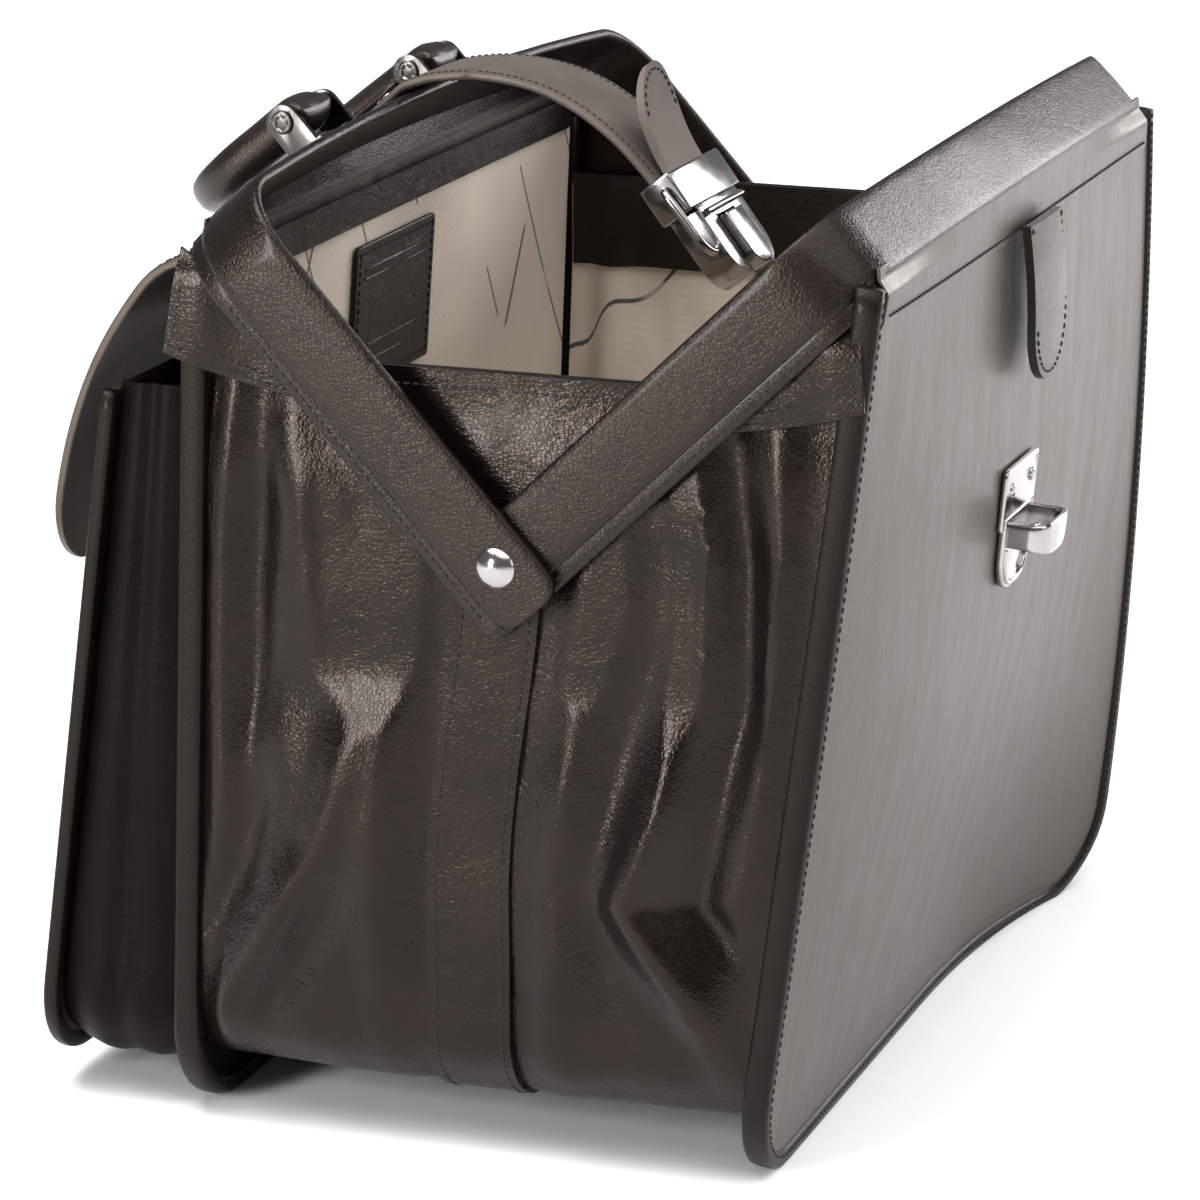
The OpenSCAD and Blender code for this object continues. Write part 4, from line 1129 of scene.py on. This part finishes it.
flap = {"half": 170, "corner": 30, "thick": 3, "step": 3, "curl": 2.2}
flapPath = curveThrough([(95.5, 296.5), (102, 294.5), (109, 289.6), (116, 281), (124, 269), (131, 256),
                         (137, 242), (141.6, 228), (145, 214), (147.4, 200), (149, 186)], flap["step"])
flapLong = flap["step"] * (len(flapPath) - 1)


def onFlap(x, d, out):
    # d is the distance up from the flap's lower edge
    last = len(flapPath) - 1
    place = min(max((flapLong - d) / flap["step"], 0), last - 0.001)
    k = int(place)
    p = flapPath[k] + (flapPath[k + 1] - flapPath[k]) * (place - k)
    along = flapPath[min(k + 2, last)] - flapPath[max(k - 1, 0)]
    up = np.array((-along[1], along[0])) / np.linalg.norm(along)
    curl = flap["curl"] * smooth((abs(x) - 110) / 60) * smooth(1 - d / 90)
    return (x, *(p + up * (out - curl)))


def flapSkin(u, v, inner):
    d = flapLong * v ** 1.2
    x = (2 * u - 1) * wallHalf(d, 0, flap["half"], flap["corner"])
    return onFlap(x, d, flap["thick"] * (-0.5 if inner else 0.5))


obj = slab("pocket_flap_leather", 48, 44, flapSkin, paintedSheenPanelLeather, 0.7)
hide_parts("pocket_flap")
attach(obj, "pocket_flap")
flapEdge = edgePath(0, flapLong - 3, flap["half"], flap["corner"])
lines = [surfaceLine(onFlap, [(x - nx * 4, s - ns * 4) for x, s, nx, ns in flapEdge], 1.45),
         surfaceLine(onFlap, [(x, flapLong - 8) for x in np.linspace(-165, 165, 80)], 1.45)]
obj = stitches("pocket_flap_stitching", lines)
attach(obj, "pocket_flap")
print("pocket made")

# stage, lights and camera

def aimAt(obj, place, aim):
    obj.location = place
    obj.rotation_euler = (Vector(aim) - Vector(place)).to_track_quat("-Z", "Y").to_euler()


def areaLight(name, place, aim, size, power):
    data = bpy.data.lights.new(name, "AREA")
    data.shape = "RECTANGLE"
    data.size, data.size_y = size
    data.energy = power
    obj = bpy.data.objects.new(name, data)
    scene.collection.objects.link(obj)
    aimAt(obj, place, aim)


floorMesh = bpy.data.meshes.new("studio_floor")
reach = 30      # metres, so that the floor fills the view
corners = [(x * reach, y * reach, 0) for x, y in ((-1, -1), (1, -1), (1, 1), (-1, 1))]
floorMesh.from_pydata(corners, [], [(0, 1, 2, 3)])
floor = bpy.data.objects.new("studio_floor", floorMesh)
scene.collection.objects.link(floor)
paper, tree, place = newMaterial("studio_paper")      # white background paper, matt and nearly even
fibre = addNode(tree, "ShaderNodeTexNoise", Vector=place, Scale=2.0, Detail=2.0).outputs["Fac"]
share = addNode(tree, "ShaderNodeMapRange", Value=fibre, From_Min=0.2, From_Max=0.8).outputs[0]
tone = addNode(tree, "ShaderNodeMix", {"data_type": "RGBA"}, i0=share, i6=hexColour("#fbfbfb"),
               i7=hexColour("#fefefe")).outputs[2]
finishMaterial(tree, Base_Color=tone, Roughness=0.95, Specular_IOR_Level=0.1)
floorMesh.materials.append(paper)

world = bpy.data.worlds.new("studio_air")
scene.world = world
world.use_nodes = True
world.node_tree.nodes["Background"].inputs["Color"].default_value = hexColour("#fdfdff")
world.node_tree.nodes["Background"].inputs["Strength"].default_value = 0.2

# place, aim, width and height in metres, power in watts
lighting = {
    "top": ((-0.5, 0.5, 1.6), (0, 0, 0.2), (0.9, 0.9), 22),
    "far": ((1.7, -1.05, 0.75), (0, 0, 0.25), (1.2, 0.9), 26),
    "side": ((-1.9, 0.78, 0.6), (-0.1, 0, 0.15), (0.34, 0.95), 34),
    "front": ((-0.4, -1.9, 0.8), (0, 0, 0.15), (0.9, 0.7), 8),
}
for name, (spot, aim, size, power) in lighting.items():
    areaLight("softbox_" + name, spot, aim, size, power)
sunData = bpy.data.lights.new("overhead_diffuser", "SUN")
sunData.energy = 2.6
sunData.angle = math.radians(70)
sun = bpy.data.objects.new("overhead_diffuser", sunData)
scene.collection.objects.link(sun)
sun.rotation_euler = (math.radians(14), math.radians(-12), 0)

view = {"place": (-1.5992, -0.5566, 0.6103), "aim": (0, 0.0128, 0.146), "lens": 146.9, "sensor": 36}
cameraData = bpy.data.cameras.new("camera")
cameraData.lens = view["lens"]
cameraData.sensor_width = view["sensor"]
cameraData.clip_end = 60
camera = bpy.data.objects.new("camera", cameraData)
scene.collection.objects.link(camera)
aimAt(camera, view["place"], view["aim"])
scene.camera = camera
scene.view_settings.view_transform = "Standard"
scene.view_settings.look = "None"
print("stage made")

bpy.context.view_layer.update()
